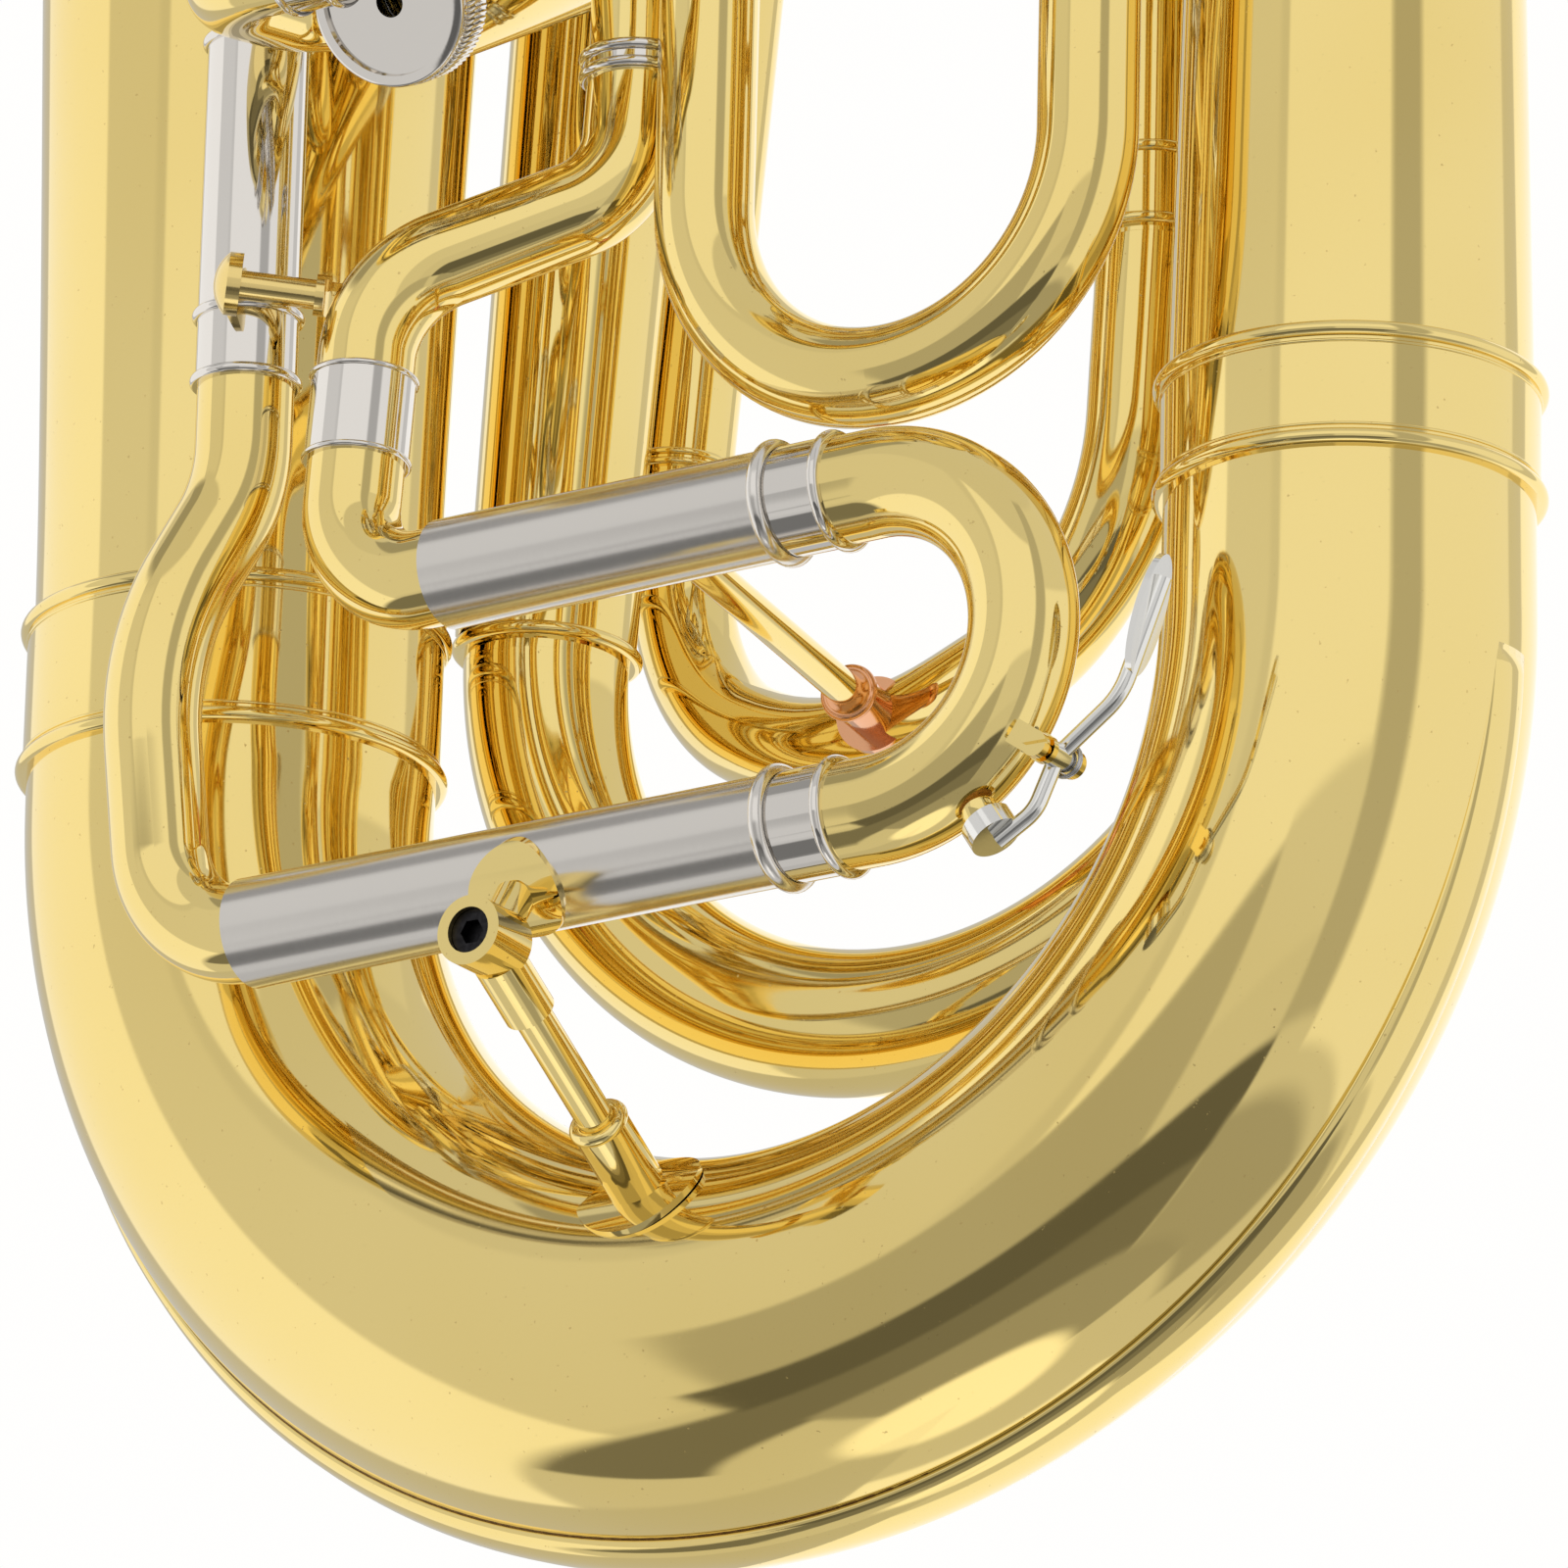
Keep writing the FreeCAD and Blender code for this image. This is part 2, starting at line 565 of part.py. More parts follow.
def cap(hole):
    """A knurled screw cap drawn at Z 0 for the upper end of a casing."""
    shell = Part.makeCylinder(CAP_R, CAP_SKIRT + CAP_END, DOWN * CAP_SKIRT)
    shell = shell.cut(Part.makeCylinder(CASING_R, CAP_SKIRT, DOWN * CAP_SKIRT))
    shell = shell.cut(Part.makeCylinder(CASING_R - 1.5, 3.4))
    shell = shell.cut(Part.makeCylinder(CAP_R - 2.4, 1.2, UP * (CAP_END - 1.2)))
    shell = shell.cut(Part.makeCylinder(hole, CAP_END))
    rim = bead(UP * (CAP_END - 0.8), UP, CAP_R - 0.6, 0.8)
    return shell.fuse(rim.cut(Part.makeCylinder(CAP_R - 2.4, 9)))


def turned_over(shape):
    flipped = shape.copy()
    flipped.Placement = FreeCAD.Placement(V(0, 0, 0), FreeCAD.Rotation(RIGHT, 180))
    return flipped


def raised(shape, height):
    lifted = shape.copy()
    lifted.translate(UP * height)
    return lifted


def piston():
    body = Part.makeCylinder(PISTON_R, CASING_LENGTH - 28, UP * 28)
    body = body.cut(Part.makeCylinder(PISTON_R - 2.2, 12.0, UP * 28))
    for height in (50.0, 72.0):
        body = body.cut(Part.makeCylinder(7.6, 40, V(-20, 0, height), RIGHT))
    felt = Part.makeCylinder(8.0, 3.1, UP * CASING_LENGTH)
    stem = Part.makeCylinder(4.0, STEM, UP * CASING_LENGTH)
    return joined([body, felt, stem])


def finger_button():
    low = CASING_LENGTH + STEM
    button = Part.makeCylinder(10.0, 6.4, UP * low)
    edge = bead(UP * (low + 5.2), UP, 9.4, 1.2)
    return button.fuse(edge).cut(Part.makeSphere(24.0, UP * (low + 29.3)))


def valve_spring():
    return raised(coil_spring(9.6, 0.7, 6.0, 6.8), -2.6)


def caps_and_pistons():
    numbers = range(1, 5)
    save("bottom_caps", *[on_valve(n, turned_over(cap(3.0))) for n in numbers])
    save("top_caps", *[on_valve(n, raised(cap(4.3), CASING_LENGTH)) for n in numbers])
    for number in numbers:
        save("piston_%d" % number, on_valve(number, piston()))
        save("finger_button_%d" % number, on_valve(number, finger_button()))
    save("valve_springs", *[on_valve(n, valve_spring()) for n in numbers])


def feed_and_exit():
    entry = port(1, FEED.y)
    feed = bent_tube([FEED, V(FEED.x, FEED.y, entry.z), entry], [11.9], PORT_R)
    save("feed_pipe", clear_of_casings(feed))
    leave = port(4, -22.5)
    side = V(-70, leave.y, leave.z)
    top = V(side.x, side.y, EXIT_TOP.z)
    riser = clear_of_casings(bent_tube([leave, side, top], [13], PORT_R))
    arch = tapered_tube(half_bow(top, EXIT_TOP, UP), PORT_R, SMALL_R)
    down = bent_tube([EXIT_TOP, SMALL_FAR], [], SMALL_R)
    save("exit_pipe", joined([riser, arch, down]))


# ---- valve slides --------------------------------------------------------------------------
def outer_leg(start, length):
    """A nickel outer tube with a bead at its open upper end."""
    tube = band(start, UP, length, SLIDE_R, LEG_R)
    ring = bead(start + UP * (length - 1.4), UP, SLIDE_R + 0.5, 1.4)
    return tube.fuse(ring.cut(Part.makeCylinder(LEG_R, 10, start + UP * (length - 5))))


def valve_slide(number, ends, leg):
    """Two inner legs and the bow that joins them; ends are the open ends of the outer tubes."""
    pieces = []
    for end in ends:
        inner = band(end - UP * leg, UP, leg + 9.0, INNER_LEG_R, INNER_LEG_R - LEG_WALL)
        collar = band(end + UP * 0.4, UP, 8.6, SLIDE_R, INNER_LEG_R)
        pieces.append(joined([inner, collar]))
    half = (ends[1] - ends[0]).Length / 2
    begin, finish = ends[0] + UP * 9.0, ends[1] + UP * 9.0
    out = UP * (half + 2.0)
    route = [begin, begin + out, finish + out, finish]
    pieces.append(bent_tube(route, [half - 0.01, half - 0.01], PORT_R + 0.4))
    save("valve_slide_%d" % number, joined(pieces))


def side_column(number, y, x, height, bend):
    """A port tube that leaves a casing sideways and turns up."""
    foot = port(number, y)
    return clear_of_casings(bent_tube([foot, V(x, y, foot.z), V(x, y, height)], [bend], PORT_R))


def short_loop(number, x, low, high, leg):
    """The tubing of the first and second valves: two columns and a slide."""
    feet = [y for _, y in PORTS[number] if y != FEED.y]
    columns = [side_column(number, y, x, low, 14) for y in feet]
    legs = [outer_leg(V(x, y, low), high - low) for y in feet]
    save("valve_tubing_%d" % number, *(columns + legs))
    valve_slide(number, [V(x, y, high) for y in feet], leg)


def third_loop():
    """The long hanging loop, closed by a slide at the top."""
    loop_x, half, loop_y, loop_z = 51.4, 44.0, -50.0, BOW_HEIGHT + 91.6
    left, right, low, high = loop_x - half, loop_x + half, 404.0, 460.0
    foot = port(3, -66.0)
    bottom = loop_z - half
    route = [foot, V(left, foot.y, foot.z), V(left, loop_y, 325), V(left, loop_y, bottom),
             V(right, loop_y, bottom), V(right, loop_y, low)]
    loop = clear_of_casings(bent_tube(route, [13, 16, half - 0.02, half - 0.02], 10.0))
    inner = side_column(3, -24.0, 80, low, 14)
    ends = [V(right, loop_y, high), V(80, -24, high)]
    legs = [outer_leg(end - UP * (high - low), high - low) for end in ends]
    save("valve_tubing_3", loop, inner, *legs)
    valve_slide(3, ends, 46)


def fourth_loop():
    """Round in front of the valve's own cap, then up both sides of the valves."""
    low, high, front_y = 390.0, 485.0, -112.0
    foot = port(4, -73.5)
    route = [foot + LEFT * 7, V(-72, foot.y, foot.z), V(-72, front_y, 306), V(-30, front_y, 306),
             V(12, front_y, 318), V(12, front_y, low)]
    first = clear_of_casings(bent_tube(route, [14.5, 14.5, 30, 18], PORT_R))
    second = side_column(4, -46.0, -70, low, 13)
    ends = [V(12, front_y, high), V(-70, -46, high)]
    legs = [outer_leg(end - UP * (high - low), high - low) for end in ends]
    save("valve_tubing_4", first, second, *legs)
    valve_slide(4, ends, 72)


def valve_tubing():
    short_loop(1, -6, 492, 532, 37)
    short_loop(2, 18, 446, 480, 31)
    third_loop()
    fourth_loop()


# ---- braces and small fittings -------------------------------------------------------------
def strut_brace():
    """The screwed strut from the tuning slide's lower tube down to the bottom bow."""
    tube_x, foot_x, bow_r = -13.0, -14.5, 39.3
    tube = LOWER_START + SLIDE_WAY * ((tube_x - LOWER_START.x) / SLIDE_WAY.x)
    boss = V(-12.6, -90, 104.2)
    bow_axis = V(foot_x, 0, BOW_HEIGHT - math.sqrt(BOW_R ** 2 - (foot_x - BOW_X) ** 2))
    foot_out = unit(V(0, -30, 27))
    foot = bow_axis + foot_out * (bow_r + 1.0)
    arm_out = unit(V(0, -0.8, -0.6))
    pad = pad_on_tube(tube, arm_out, SLIDE_WAY, SLIDE_R, 10.0)
    arm = rod(boss + FRONT * 3, tube + arm_out * (SLIDE_R + 0.4), 4.0)
    body = Part.makeCylinder(7.0, 12.0, boss + BACK * 6, FRONT)
    recess = Part.makeCylinder(4.6, 5.0, boss + BACK * 6.01, FRONT)
    way = unit(foot - boss)
    pieces = [arm, body, rod(boss, foot, 3.8), rod(boss + way * 6, boss + way * 20, 5.2),
              rod(foot - way * 18, foot - way * 1.0, 5.8), bead(foot - way * 18, way, 4.8, 1.4)]
    saddle = pad_on_tube(bow_axis, foot_out, RIGHT, bow_r, 13.0, 1.4)
    block = Part.makeCylinder(SLIDE_R, 60, tube - SLIDE_WAY * 30, SLIDE_WAY)
    under = Part.makeCylinder(bow_r, 80, bow_axis + LEFT * 40, RIGHT)
    save("strut_brace", joined([joined(pieces).cut(block).cut(under).cut(recess), pad, saddle]))
    screw = Part.makeCylinder(4.5, 4.0, boss + BACK * 4.6, FRONT)
    turns = [math.radians(60 * k) for k in range(7)]
    hexagon = Part.makePolygon([V(2.6 * math.cos(a), 0, 2.6 * math.sin(a)) for a in turns])
    socket = Part.Face(hexagon).extrude(FRONT * 2.6)
    socket.translate(boss + BACK * 4.7)
    save("strut_screw", screw.cut(socket))


def stub_brace(start, start_r, end, end_r, z, radius=4.5, pad_r=8.0, end_pad_r=8.0):
    """A short rod with a round flange at both ends, between two upright tubes."""
    a, b = V(start[0], start[1], z), V(end[0], end[1], z)
    way = unit(b - a)
    pads = [pad_on_tube(a, way, UP, start_r, pad_r), pad_on_tube(b, way * -1, UP, end_r, end_pad_r)]
    bar = rod(a + way * (start_r + 0.2), b - way * (end_r + 0.2), radius)
    for foot, tube_r in ((a, start_r), (b, end_r)):
        bar = bar.cut(Part.makeCylinder(tube_r, 60, foot - UP * 30))
    return joined([bar] + pads)


def bell_radius(z):
    if z < 240:
        return 41.4 + 0.6 * (z - BELL_START) / (240 - BELL_START)
    return 42.0 + 3.3 * (z - 240) / 100 if z < 340 else 45.3 + 4.3 * (z - 340) / 110


ROD_START = V(11.8, SLIDE_Y, UPPER_START.z + (11.8 - UPPER_START.x) * math.tan(SLIDE_TILT))
ROD_END = V(-6.7, 50.2, 187.0)


def tube_braces():
    bell_at, branch_at = (BELL_X, 0), (BRANCH_X, 0)
    inner_up = (INNER_FAR.x, INNER_FAR.y)
    sleeve_at = (SLEEVE_LOW.x, SLEEVE_LOW.y)
    braces = [
        stub_brace(bell_at, bell_radius(226), (-90.5, 49.0), 18.5, 226, 4.5, 12.0, 7.0),
        stub_brace(branch_at, branch_radius(340), inner_up, 12.3, 340),
        stub_brace(branch_at, branch_radius(450), inner_up, 12.1, 450),
        stub_brace(bell_at, bell_radius(286), sleeve_at, 10.3, 286, 4.0, 10.0),
        stub_brace(bell_at, bell_radius(430), sleeve_at, 8.95, 430, 4.0),
        stub_brace(bell_at, bell_radius(440), (-70, -22.5), PORT_R, 440, 4.0),
        stub_brace(branch_at, branch_radius(352), (95.4, -50), 10.0, 352, 4.0),
        stub_brace((EXIT_TOP.x, EXIT_TOP.y), SMALL_R, inner_up, 12.2, 390, 3.5, 6.0, 6.0),
    ]
    way = unit(ROD_END - ROD_START)
    bar = rod(ROD_START + way * (SLIDE_R + 0.5), ROD_END - way * 24, 3.6)
    block = Part.makeCylinder(SLIDE_R, 60, ROD_START - SLIDE_WAY * 30, SLIDE_WAY)
    braces.append(joined([bar.cut(block), pad_on_tube(ROD_START, way, SLIDE_WAY, SLIDE_R, 7.5)]))
    save("tube_braces", *braces)


def copper_socket():
    """Holds the front end of the long rod against the small bow."""
    way = unit(ROD_END - ROD_START)
    socket = rod(ROD_END - way * 26, ROD_END - way * 10.5, 5.2)
    lip = bead(ROD_END - way * 25, way, 5.0, 1.1)
    foot = Part.makeCylinder(8.0, 1.8, ROD_END - way * 12.4, way)
    hole = rod(ROD_END - way * 30, ROD_END - way * 24, 3.6)
    core = bent_tube(SMALL_ROUTE, [52, 98, 50], SMALL_R, 0)
    save("copper_socket", joined([socket, lip, foot]).cut(hole).cut(core))


def clamp_and_ring():
    """The clamp between leadpipe sleeve and upper crook, and the thumb ring."""
    head, far = V(-85, -80, 255), V(-66.5, -66.5, 253)
    way = unit(far - head)
    lens = Part.makeSphere(9.0, head + way * 5.6).common(Part.makeCylinder(6.4, 5.4, head - way * 3.4, way))
    bar = rod(head, far, 3.0)
    collar = rod(far - way * 6, far - way * 3, 4.2)
    sleeve_core = Part.makeCylinder(10.35, 80, V(SLEEVE_LOW.x, SLEEVE_LOW.y, 230))
    crook_core = rod(CROOK_ROUTE[1], CROOK_ROUTE[2], CROOK_R + 0.05)
    save("sleeve_clamp", joined([lens, bar, collar]).cut(sleeve_core).cut(crook_core))
    ring = bead(V(39.3, EXIT_TOP.y, 400), FRONT, 14.0, 2.5)
    save("thumb_ring", ring.cut(Part.makeCylinder(SMALL_R, 40, V(EXIT_TOP.x, EXIT_TOP.y, 380))))


def main():
    os.makedirs("parts", exist_ok=True)
    bell()
    bell_rim_wire()
    bottom_bow()
    bottom_bow_guard()
    bell_and_branch_ferrules()
    outer_branch()
    inner_bores()
    bore_ferrules()
    leadpipe()
    leadpipe_sleeve()
    lower_crook()
    tuning_outer_tubes()
    main_slide()
    water_key()
    upper_crook()
    valve_casings()
    caps_and_pistons()
    feed_and_exit()
    valve_tubing()
    strut_brace()
    tube_braces()
    copper_socket()
    clamp_and_ring()


main()
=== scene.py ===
# %% [markdown]
# A large piston-valve tuba.  The CAD frame gives every piece its place; this file gives each piece
# the smooth skin and the finish of the real instrument.  Everything is in metres, +Z up.

# %% Load the frame
import json
import math

import bmesh
import bpy
from mathutils import Matrix, Quaternion, Vector

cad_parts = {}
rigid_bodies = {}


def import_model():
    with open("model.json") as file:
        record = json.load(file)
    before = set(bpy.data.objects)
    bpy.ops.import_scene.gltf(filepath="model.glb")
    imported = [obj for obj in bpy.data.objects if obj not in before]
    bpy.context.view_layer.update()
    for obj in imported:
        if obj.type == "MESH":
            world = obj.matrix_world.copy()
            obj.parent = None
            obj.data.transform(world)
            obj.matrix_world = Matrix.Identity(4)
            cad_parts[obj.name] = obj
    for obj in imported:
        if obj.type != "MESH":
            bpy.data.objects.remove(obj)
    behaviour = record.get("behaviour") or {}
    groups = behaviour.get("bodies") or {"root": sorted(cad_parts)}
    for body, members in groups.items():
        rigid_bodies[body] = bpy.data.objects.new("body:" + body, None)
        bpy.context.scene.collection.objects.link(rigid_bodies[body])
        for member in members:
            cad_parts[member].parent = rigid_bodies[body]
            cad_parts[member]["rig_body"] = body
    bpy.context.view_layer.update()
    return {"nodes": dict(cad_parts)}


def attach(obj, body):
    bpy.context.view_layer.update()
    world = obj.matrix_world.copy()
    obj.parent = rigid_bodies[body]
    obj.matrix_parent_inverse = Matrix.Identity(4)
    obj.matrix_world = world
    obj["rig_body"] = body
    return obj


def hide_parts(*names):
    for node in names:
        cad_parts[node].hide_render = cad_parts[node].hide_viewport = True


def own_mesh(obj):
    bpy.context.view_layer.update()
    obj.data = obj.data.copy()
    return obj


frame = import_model()
nodes = frame["nodes"]
body_of_node = {name: obj["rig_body"] for name, obj in nodes.items()}
scene = bpy.context.scene
MM = 0.001
UP, DOWN, FRONT, RIGHT, LEFT = (Vector(v) for v in ((0, 0, 1), (0, 0, -1), (0, 1, 0), (1, 0, 0), (-1, 0, 0)))
BELL_X, BRANCH_X = -135.4, 126.5          # the bell's axis and the outer branch's, in the drawing
SHIFT = Vector((4.45, 0, 0))              # from the drawing's lines to the frame's origin
print("frame with", len(nodes), "nodes")


# %% [markdown]
# The view.  A long lens a few metres away, a little below the horn and to the player's right, looks
# up at the bottom bow.  The camera is built from three directions: right, up and back.

# %% The camera
TURN, TILT, ROLL = (math.radians(a) for a in (32.0, 18.5, 1.4))
across = Vector((math.cos(TURN), math.sin(TURN), 0))
back = Vector((math.sin(TURN) * math.cos(TILT), -math.cos(TURN) * math.cos(TILT), -math.sin(TILT)))
upward = back.cross(across)
target = Vector((0.00445, 0, 0.174)) - across * 0.0016 - upward * 0.0131
lens = bpy.data.cameras.new("studio_camera")
lens.sensor_width, lens.lens = 36.0, 288.0
camera = bpy.data.objects.new("studio_camera", lens)
scene.collection.objects.link(camera)
rolled = across * math.cos(ROLL) + upward * math.sin(ROLL)
camera.matrix_world = Matrix.Translation(target + back * 2.5) @ Matrix(
    (rolled, back.cross(rolled), back)).transposed().to_4x4()
scene.camera = camera
scene.view_settings.view_transform = "Standard"
print("camera at", [round(v, 3) for v in camera.matrix_world.translation])


# %% [markdown]
# Shader maths.  A Wire is one output of a node.  Its operators add the Math node that does the sum,
# so a mask can be written as it would be on paper.  Any other node comes from Finish.node.

# %% Wires and finishes
class Wire:
    def __init__(self, finish, socket):
        self.finish, self.socket = finish, socket

    def math(self, operation, *others):
        return self.finish.node("ShaderNodeMath", {"operation": operation},
                                {k: v for k, v in enumerate((self,) + others)})

    def __add__(self, other): return self.math("ADD", other)
    def __radd__(self, other): return self.math("ADD", other)
    def __mul__(self, other): return self.math("MULTIPLY", other)
    def __rmul__(self, other): return self.math("MULTIPLY", other)
    def __sub__(self, other): return self.math("SUBTRACT", other)
    def __rsub__(self, other): return self.math("MULTIPLY", -1.0).math("ADD", other)

    def above(self, low, high):
        """0 below low, 1 above high, smooth between."""
        return self.finish.node("ShaderNodeMapRange", {"interpolation_type": "SMOOTHSTEP"},
                                {"Value": self, "From Min": low, "From Max": high})


class Finish:
    """A material (or the world) whose nodes are made one call at a time."""

    def __init__(self, owner):
        owner.use_nodes = True
        self.owner, self.tree = owner, owner.node_tree
        self.tree.nodes.clear()

    def node(self, kind, settings=None, values=None, output=0):
        made = self.tree.nodes.new(kind)
        for key, value in (settings or {}).items():
            if key == "stops":
                ramp = made.color_ramp.elements
                while len(ramp) < len(value):
                    ramp.new(0.5)
                for element, (place, colour) in zip(ramp, value):
                    element.position, element.color = place, (*colour, 1.0)
            else:
                setattr(made, key, value)
        for key, value in (values or {}).items():
            socket = made.inputs[key]
            if isinstance(value, Wire):
                self.tree.links.new(value.socket, socket)
            else:
                socket.default_value = value
        return Wire(self, made.outputs[output]) if len(made.outputs) else None

    def place(self):
        return self.node("ShaderNodeTexCoord", output=3)

    def noise(self, scale, detail=3.0, place=None, stretch=None):
        place = place or self.place()
        if stretch:
            place = self.node("ShaderNodeMapping", {}, {"Vector": place, "Scale": stretch})
        return self.node("ShaderNodeTexNoise", {}, {"Vector": place, "Scale": scale, "Detail": detail})

    def blend(self, factor, a, b):
        return self.node("ShaderNodeMix", {"data_type": "RGBA"}, {0: factor, 6: (*a, 1) if isinstance(a, tuple) else a,
                                                                  7: (*b, 1) if isinstance(b, tuple) else b}, output=2)

    def surface(self, values, bumps=None, strength=0.1, distance=0.0002):
        if bumps is not None:
            values["Normal"] = self.node("ShaderNodeBump", {}, {"Height": bumps, "Strength": strength,
                                                                "Distance": distance})
        shader = self.node("ShaderNodeBsdfPrincipled", {}, values)
        self.node("ShaderNodeOutputMaterial", {}, {"Surface": shader})
        return self.owner


def new_finish(name):
    return Finish(bpy.data.materials.new(name))


# %% [markdown]
# Lacquered brass.  Polished brass returns about nine tenths of the red, three quarters of the green
# and a third of the blue, so light that bounces twice between two tubes comes back a deep gold.  A
# thin clear lacquer lies on top.  Faint buffing lines, fine dust and a slow drift in the colour of
# the lacquer keep a large bow from looking like a flat swatch.

# %% Brass
def lacquered_brass(name, tone, roughness=0.035, wear=1.0):
    f = new_finish(name)
    drift = f.noise(9.0, 2.0)
    haze = f.noise(38.0, 4.0).above(0.42, 0.72)
    buff = f.noise(60.0, 2.0, stretch=(1.0, 1.0, 14.0)).above(0.35, 0.8)
    specks = f.noise(900.0, 1.0).above(0.74, 0.80)
    deep = tuple(c * k for c, k in zip(tone, (0.97, 0.95, 0.88)))
    colour = f.blend(drift.above(0.35, 0.7), tone, deep)
    colour = f.blend(specks * (0.35 * wear), colour, (0.42, 0.27, 0.09))
    rough = haze * (0.03 * wear) + buff * (0.02 * wear) + specks * 0.25 + roughness
    return f.surface({"Base Color": colour, "Metallic": 1.0, "Roughness": rough, "Coat Weight": 0.25,
                      "Coat Roughness": 0.02, "Coat IOR": 1.5}, f.noise(5.0, 1.0), 0.05 * wear, 0.001)


BRASS_TONE = (0.93, 0.735, 0.285)
brass = lacquered_brass("lacquered_brass", BRASS_TONE)
worn_brass = lacquered_brass("handled_brass", (0.88, 0.68, 0.27), 0.08, 2.0)
print("brass", [m.name for m in (brass, worn_brass)])


# %% [markdown]
# Nickel silver comes in two dresses here.  The tubes of the slides are drawn and then brushed round,
# so their highlight is soft and greyish; ferrules, sleeves and caps are buffed to a mirror.

# %% Nickel silver, silver plate, copper
def nickel(name, roughness, lines, tone=(0.78, 0.745, 0.70)):
    f = new_finish(name)
    brushed = f.noise(2600.0, 1.0, stretch=(1.0, 0.15, 0.15))
    stain = f.noise(14.0, 3.0).above(0.5, 0.8)
    colour = f.blend(stain * 0.25, tone, tuple(c * 0.93 for c in tone))
    rough = brushed * lines + stain * 0.02 + roughness
    return f.surface({"Base Color": colour, "Metallic": 1.0, "Roughness": rough, "Coat Weight": 0.1},
                     brushed, lines * 0.6, 0.00002)


satin_nickel = nickel("satin_nickel_silver", 0.15, 0.06)
bright_nickel = nickel("bright_nickel_silver", 0.03, 0.03)
silver_plate = nickel("silver_plate", 0.07, 0.05, (0.86, 0.85, 0.82))
copper = lacquered_brass("lacquered_copper", (0.84, 0.42, 0.22), 0.12, 0.8)
print("white metals", satin_nickel.name, bright_nickel.name, silver_plate.name)


# %% [markdown]
# The small finishes: black oxide on the socket screw, bright spring wire, grained cork, and the thin
# brown line of lacquer-stained solder that runs where two pieces meet.

# %% Screw, spring, cork, solder line
def plain_metal(name, tone, roughness, grain_scale, metallic=1.0):
    f = new_finish(name)
    grain = f.noise(grain_scale, 5.0)
    colour = f.blend(grain.above(0.3, 0.7), tone, tuple(c * 0.6 for c in tone))
    return f.surface({"Base Color": colour, "Metallic": metallic, "Roughness": grain * 0.25 + roughness},
                     grain, 0.3, 0.0001)


black_oxide = plain_metal("black_oxide", (0.035, 0.034, 0.037), 0.3, 900.0)
spring_wire = plain_metal("spring_wire", (0.6, 0.6, 0.62), 0.15, 700.0)
cork = plain_metal("water_key_cork", (0.55, 0.30, 0.11), 0.6, 1500.0, 0.0)
solder_line = plain_metal("solder_line", (0.22, 0.12, 0.045), 0.35, 1200.0, 0.8)


# %% [markdown]
# Routes.  A tube is drawn the way a plumber would say it: a list of corner points and the radius of
# each bend.  `route` turns that into closely spaced places with their directions.

# %% Routes
def at(x, y, z):
    return (Vector((x, y, z)) + SHIFT) * MM


def route(points, radii, step=2.5, arc_step=3.0):
    """Places and directions along straight runs joined by tangent arcs; numbers in mm."""
    points = [Vector(p) for p in points]
    here, heading = points[0], (points[1] - points[0]).normalized()
    found = [(here.copy(), heading.copy())]

    def straight_to(there):
        length = (there - here).length
        count = max(1, int(length / (step * 6)))
        for k in range(1, count + 1):
            if length > 0.01:
                found.append((here.lerp(there, k / count), heading.copy()))

    for corner, after, radius in zip(points[1:], points[2:], radii):
        leaving = (after - corner).normalized()
        turn = heading.angle(leaving)
        start = corner - heading * radius * math.tan(turn / 2)
        straight_to(start)
        axis = heading.cross(leaving).normalized()
        centre = start + axis.cross(heading) * radius
        count = max(2, int(math.degrees(turn) / arc_step))
        for k in range(1, count + 1):
            swing = Quaternion(axis, turn * k / count)
            found.append((centre + swing @ (start - centre), swing @ heading))
        here, heading = centre + Quaternion(axis, turn) @ (start - centre), leaving
    straight_to(points[-1])
    return found


def half_circle(start, end, bulge, before=0.0, after=0.0, count=72):
    """Places round a half circle, with straight ends if asked; numbers in mm."""
    start, end, bulge = Vector(start), Vector(end), Vector(bulge)
    middle = (start + end) / 2
    arm = start - middle
    out = bulge * arm.length
    found = [(start - bulge * before, bulge.copy())] if before else []
    for k in range(count + 1):
        t = math.pi * k / count
        found.append((middle + arm * math.cos(t) + out * math.sin(t),
                      (out * math.cos(t) - arm * math.sin(t)).normalized()))
    return found + ([(end - bulge * after, -bulge)] if after else [])


# %% [markdown]
# The tube maker.  It carries one ring of points along the places without twisting it, once for the
# outside and once for the bore, and closes both ends with a flat lip.  All rings are quads with
# smooth normals, which is what a mirror finish needs; only the lip's edges stay sharp.

# %% Tubes
def finish_piece(name, mesh, material, node=None, body=None):
    """Links a mesh as one piece, rides it on its body and stands it for its CAD node."""
    obj = bpy.data.objects.new(name, mesh)
    scene.collection.objects.link(obj)
    mesh.materials.append(material)
    for polygon in mesh.polygons:
        polygon.use_smooth = True
    if node:
        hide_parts(node)
    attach(obj, body or body_of_node[node])
    return obj


def ring_points(place, spoke, heading, radius, sides):
    other = heading.cross(spoke)
    return [(place + (spoke * math.cos(2 * math.pi * k / sides) + other * math.sin(2 * math.pi * k / sides)) * radius)
            for k in range(sides)]


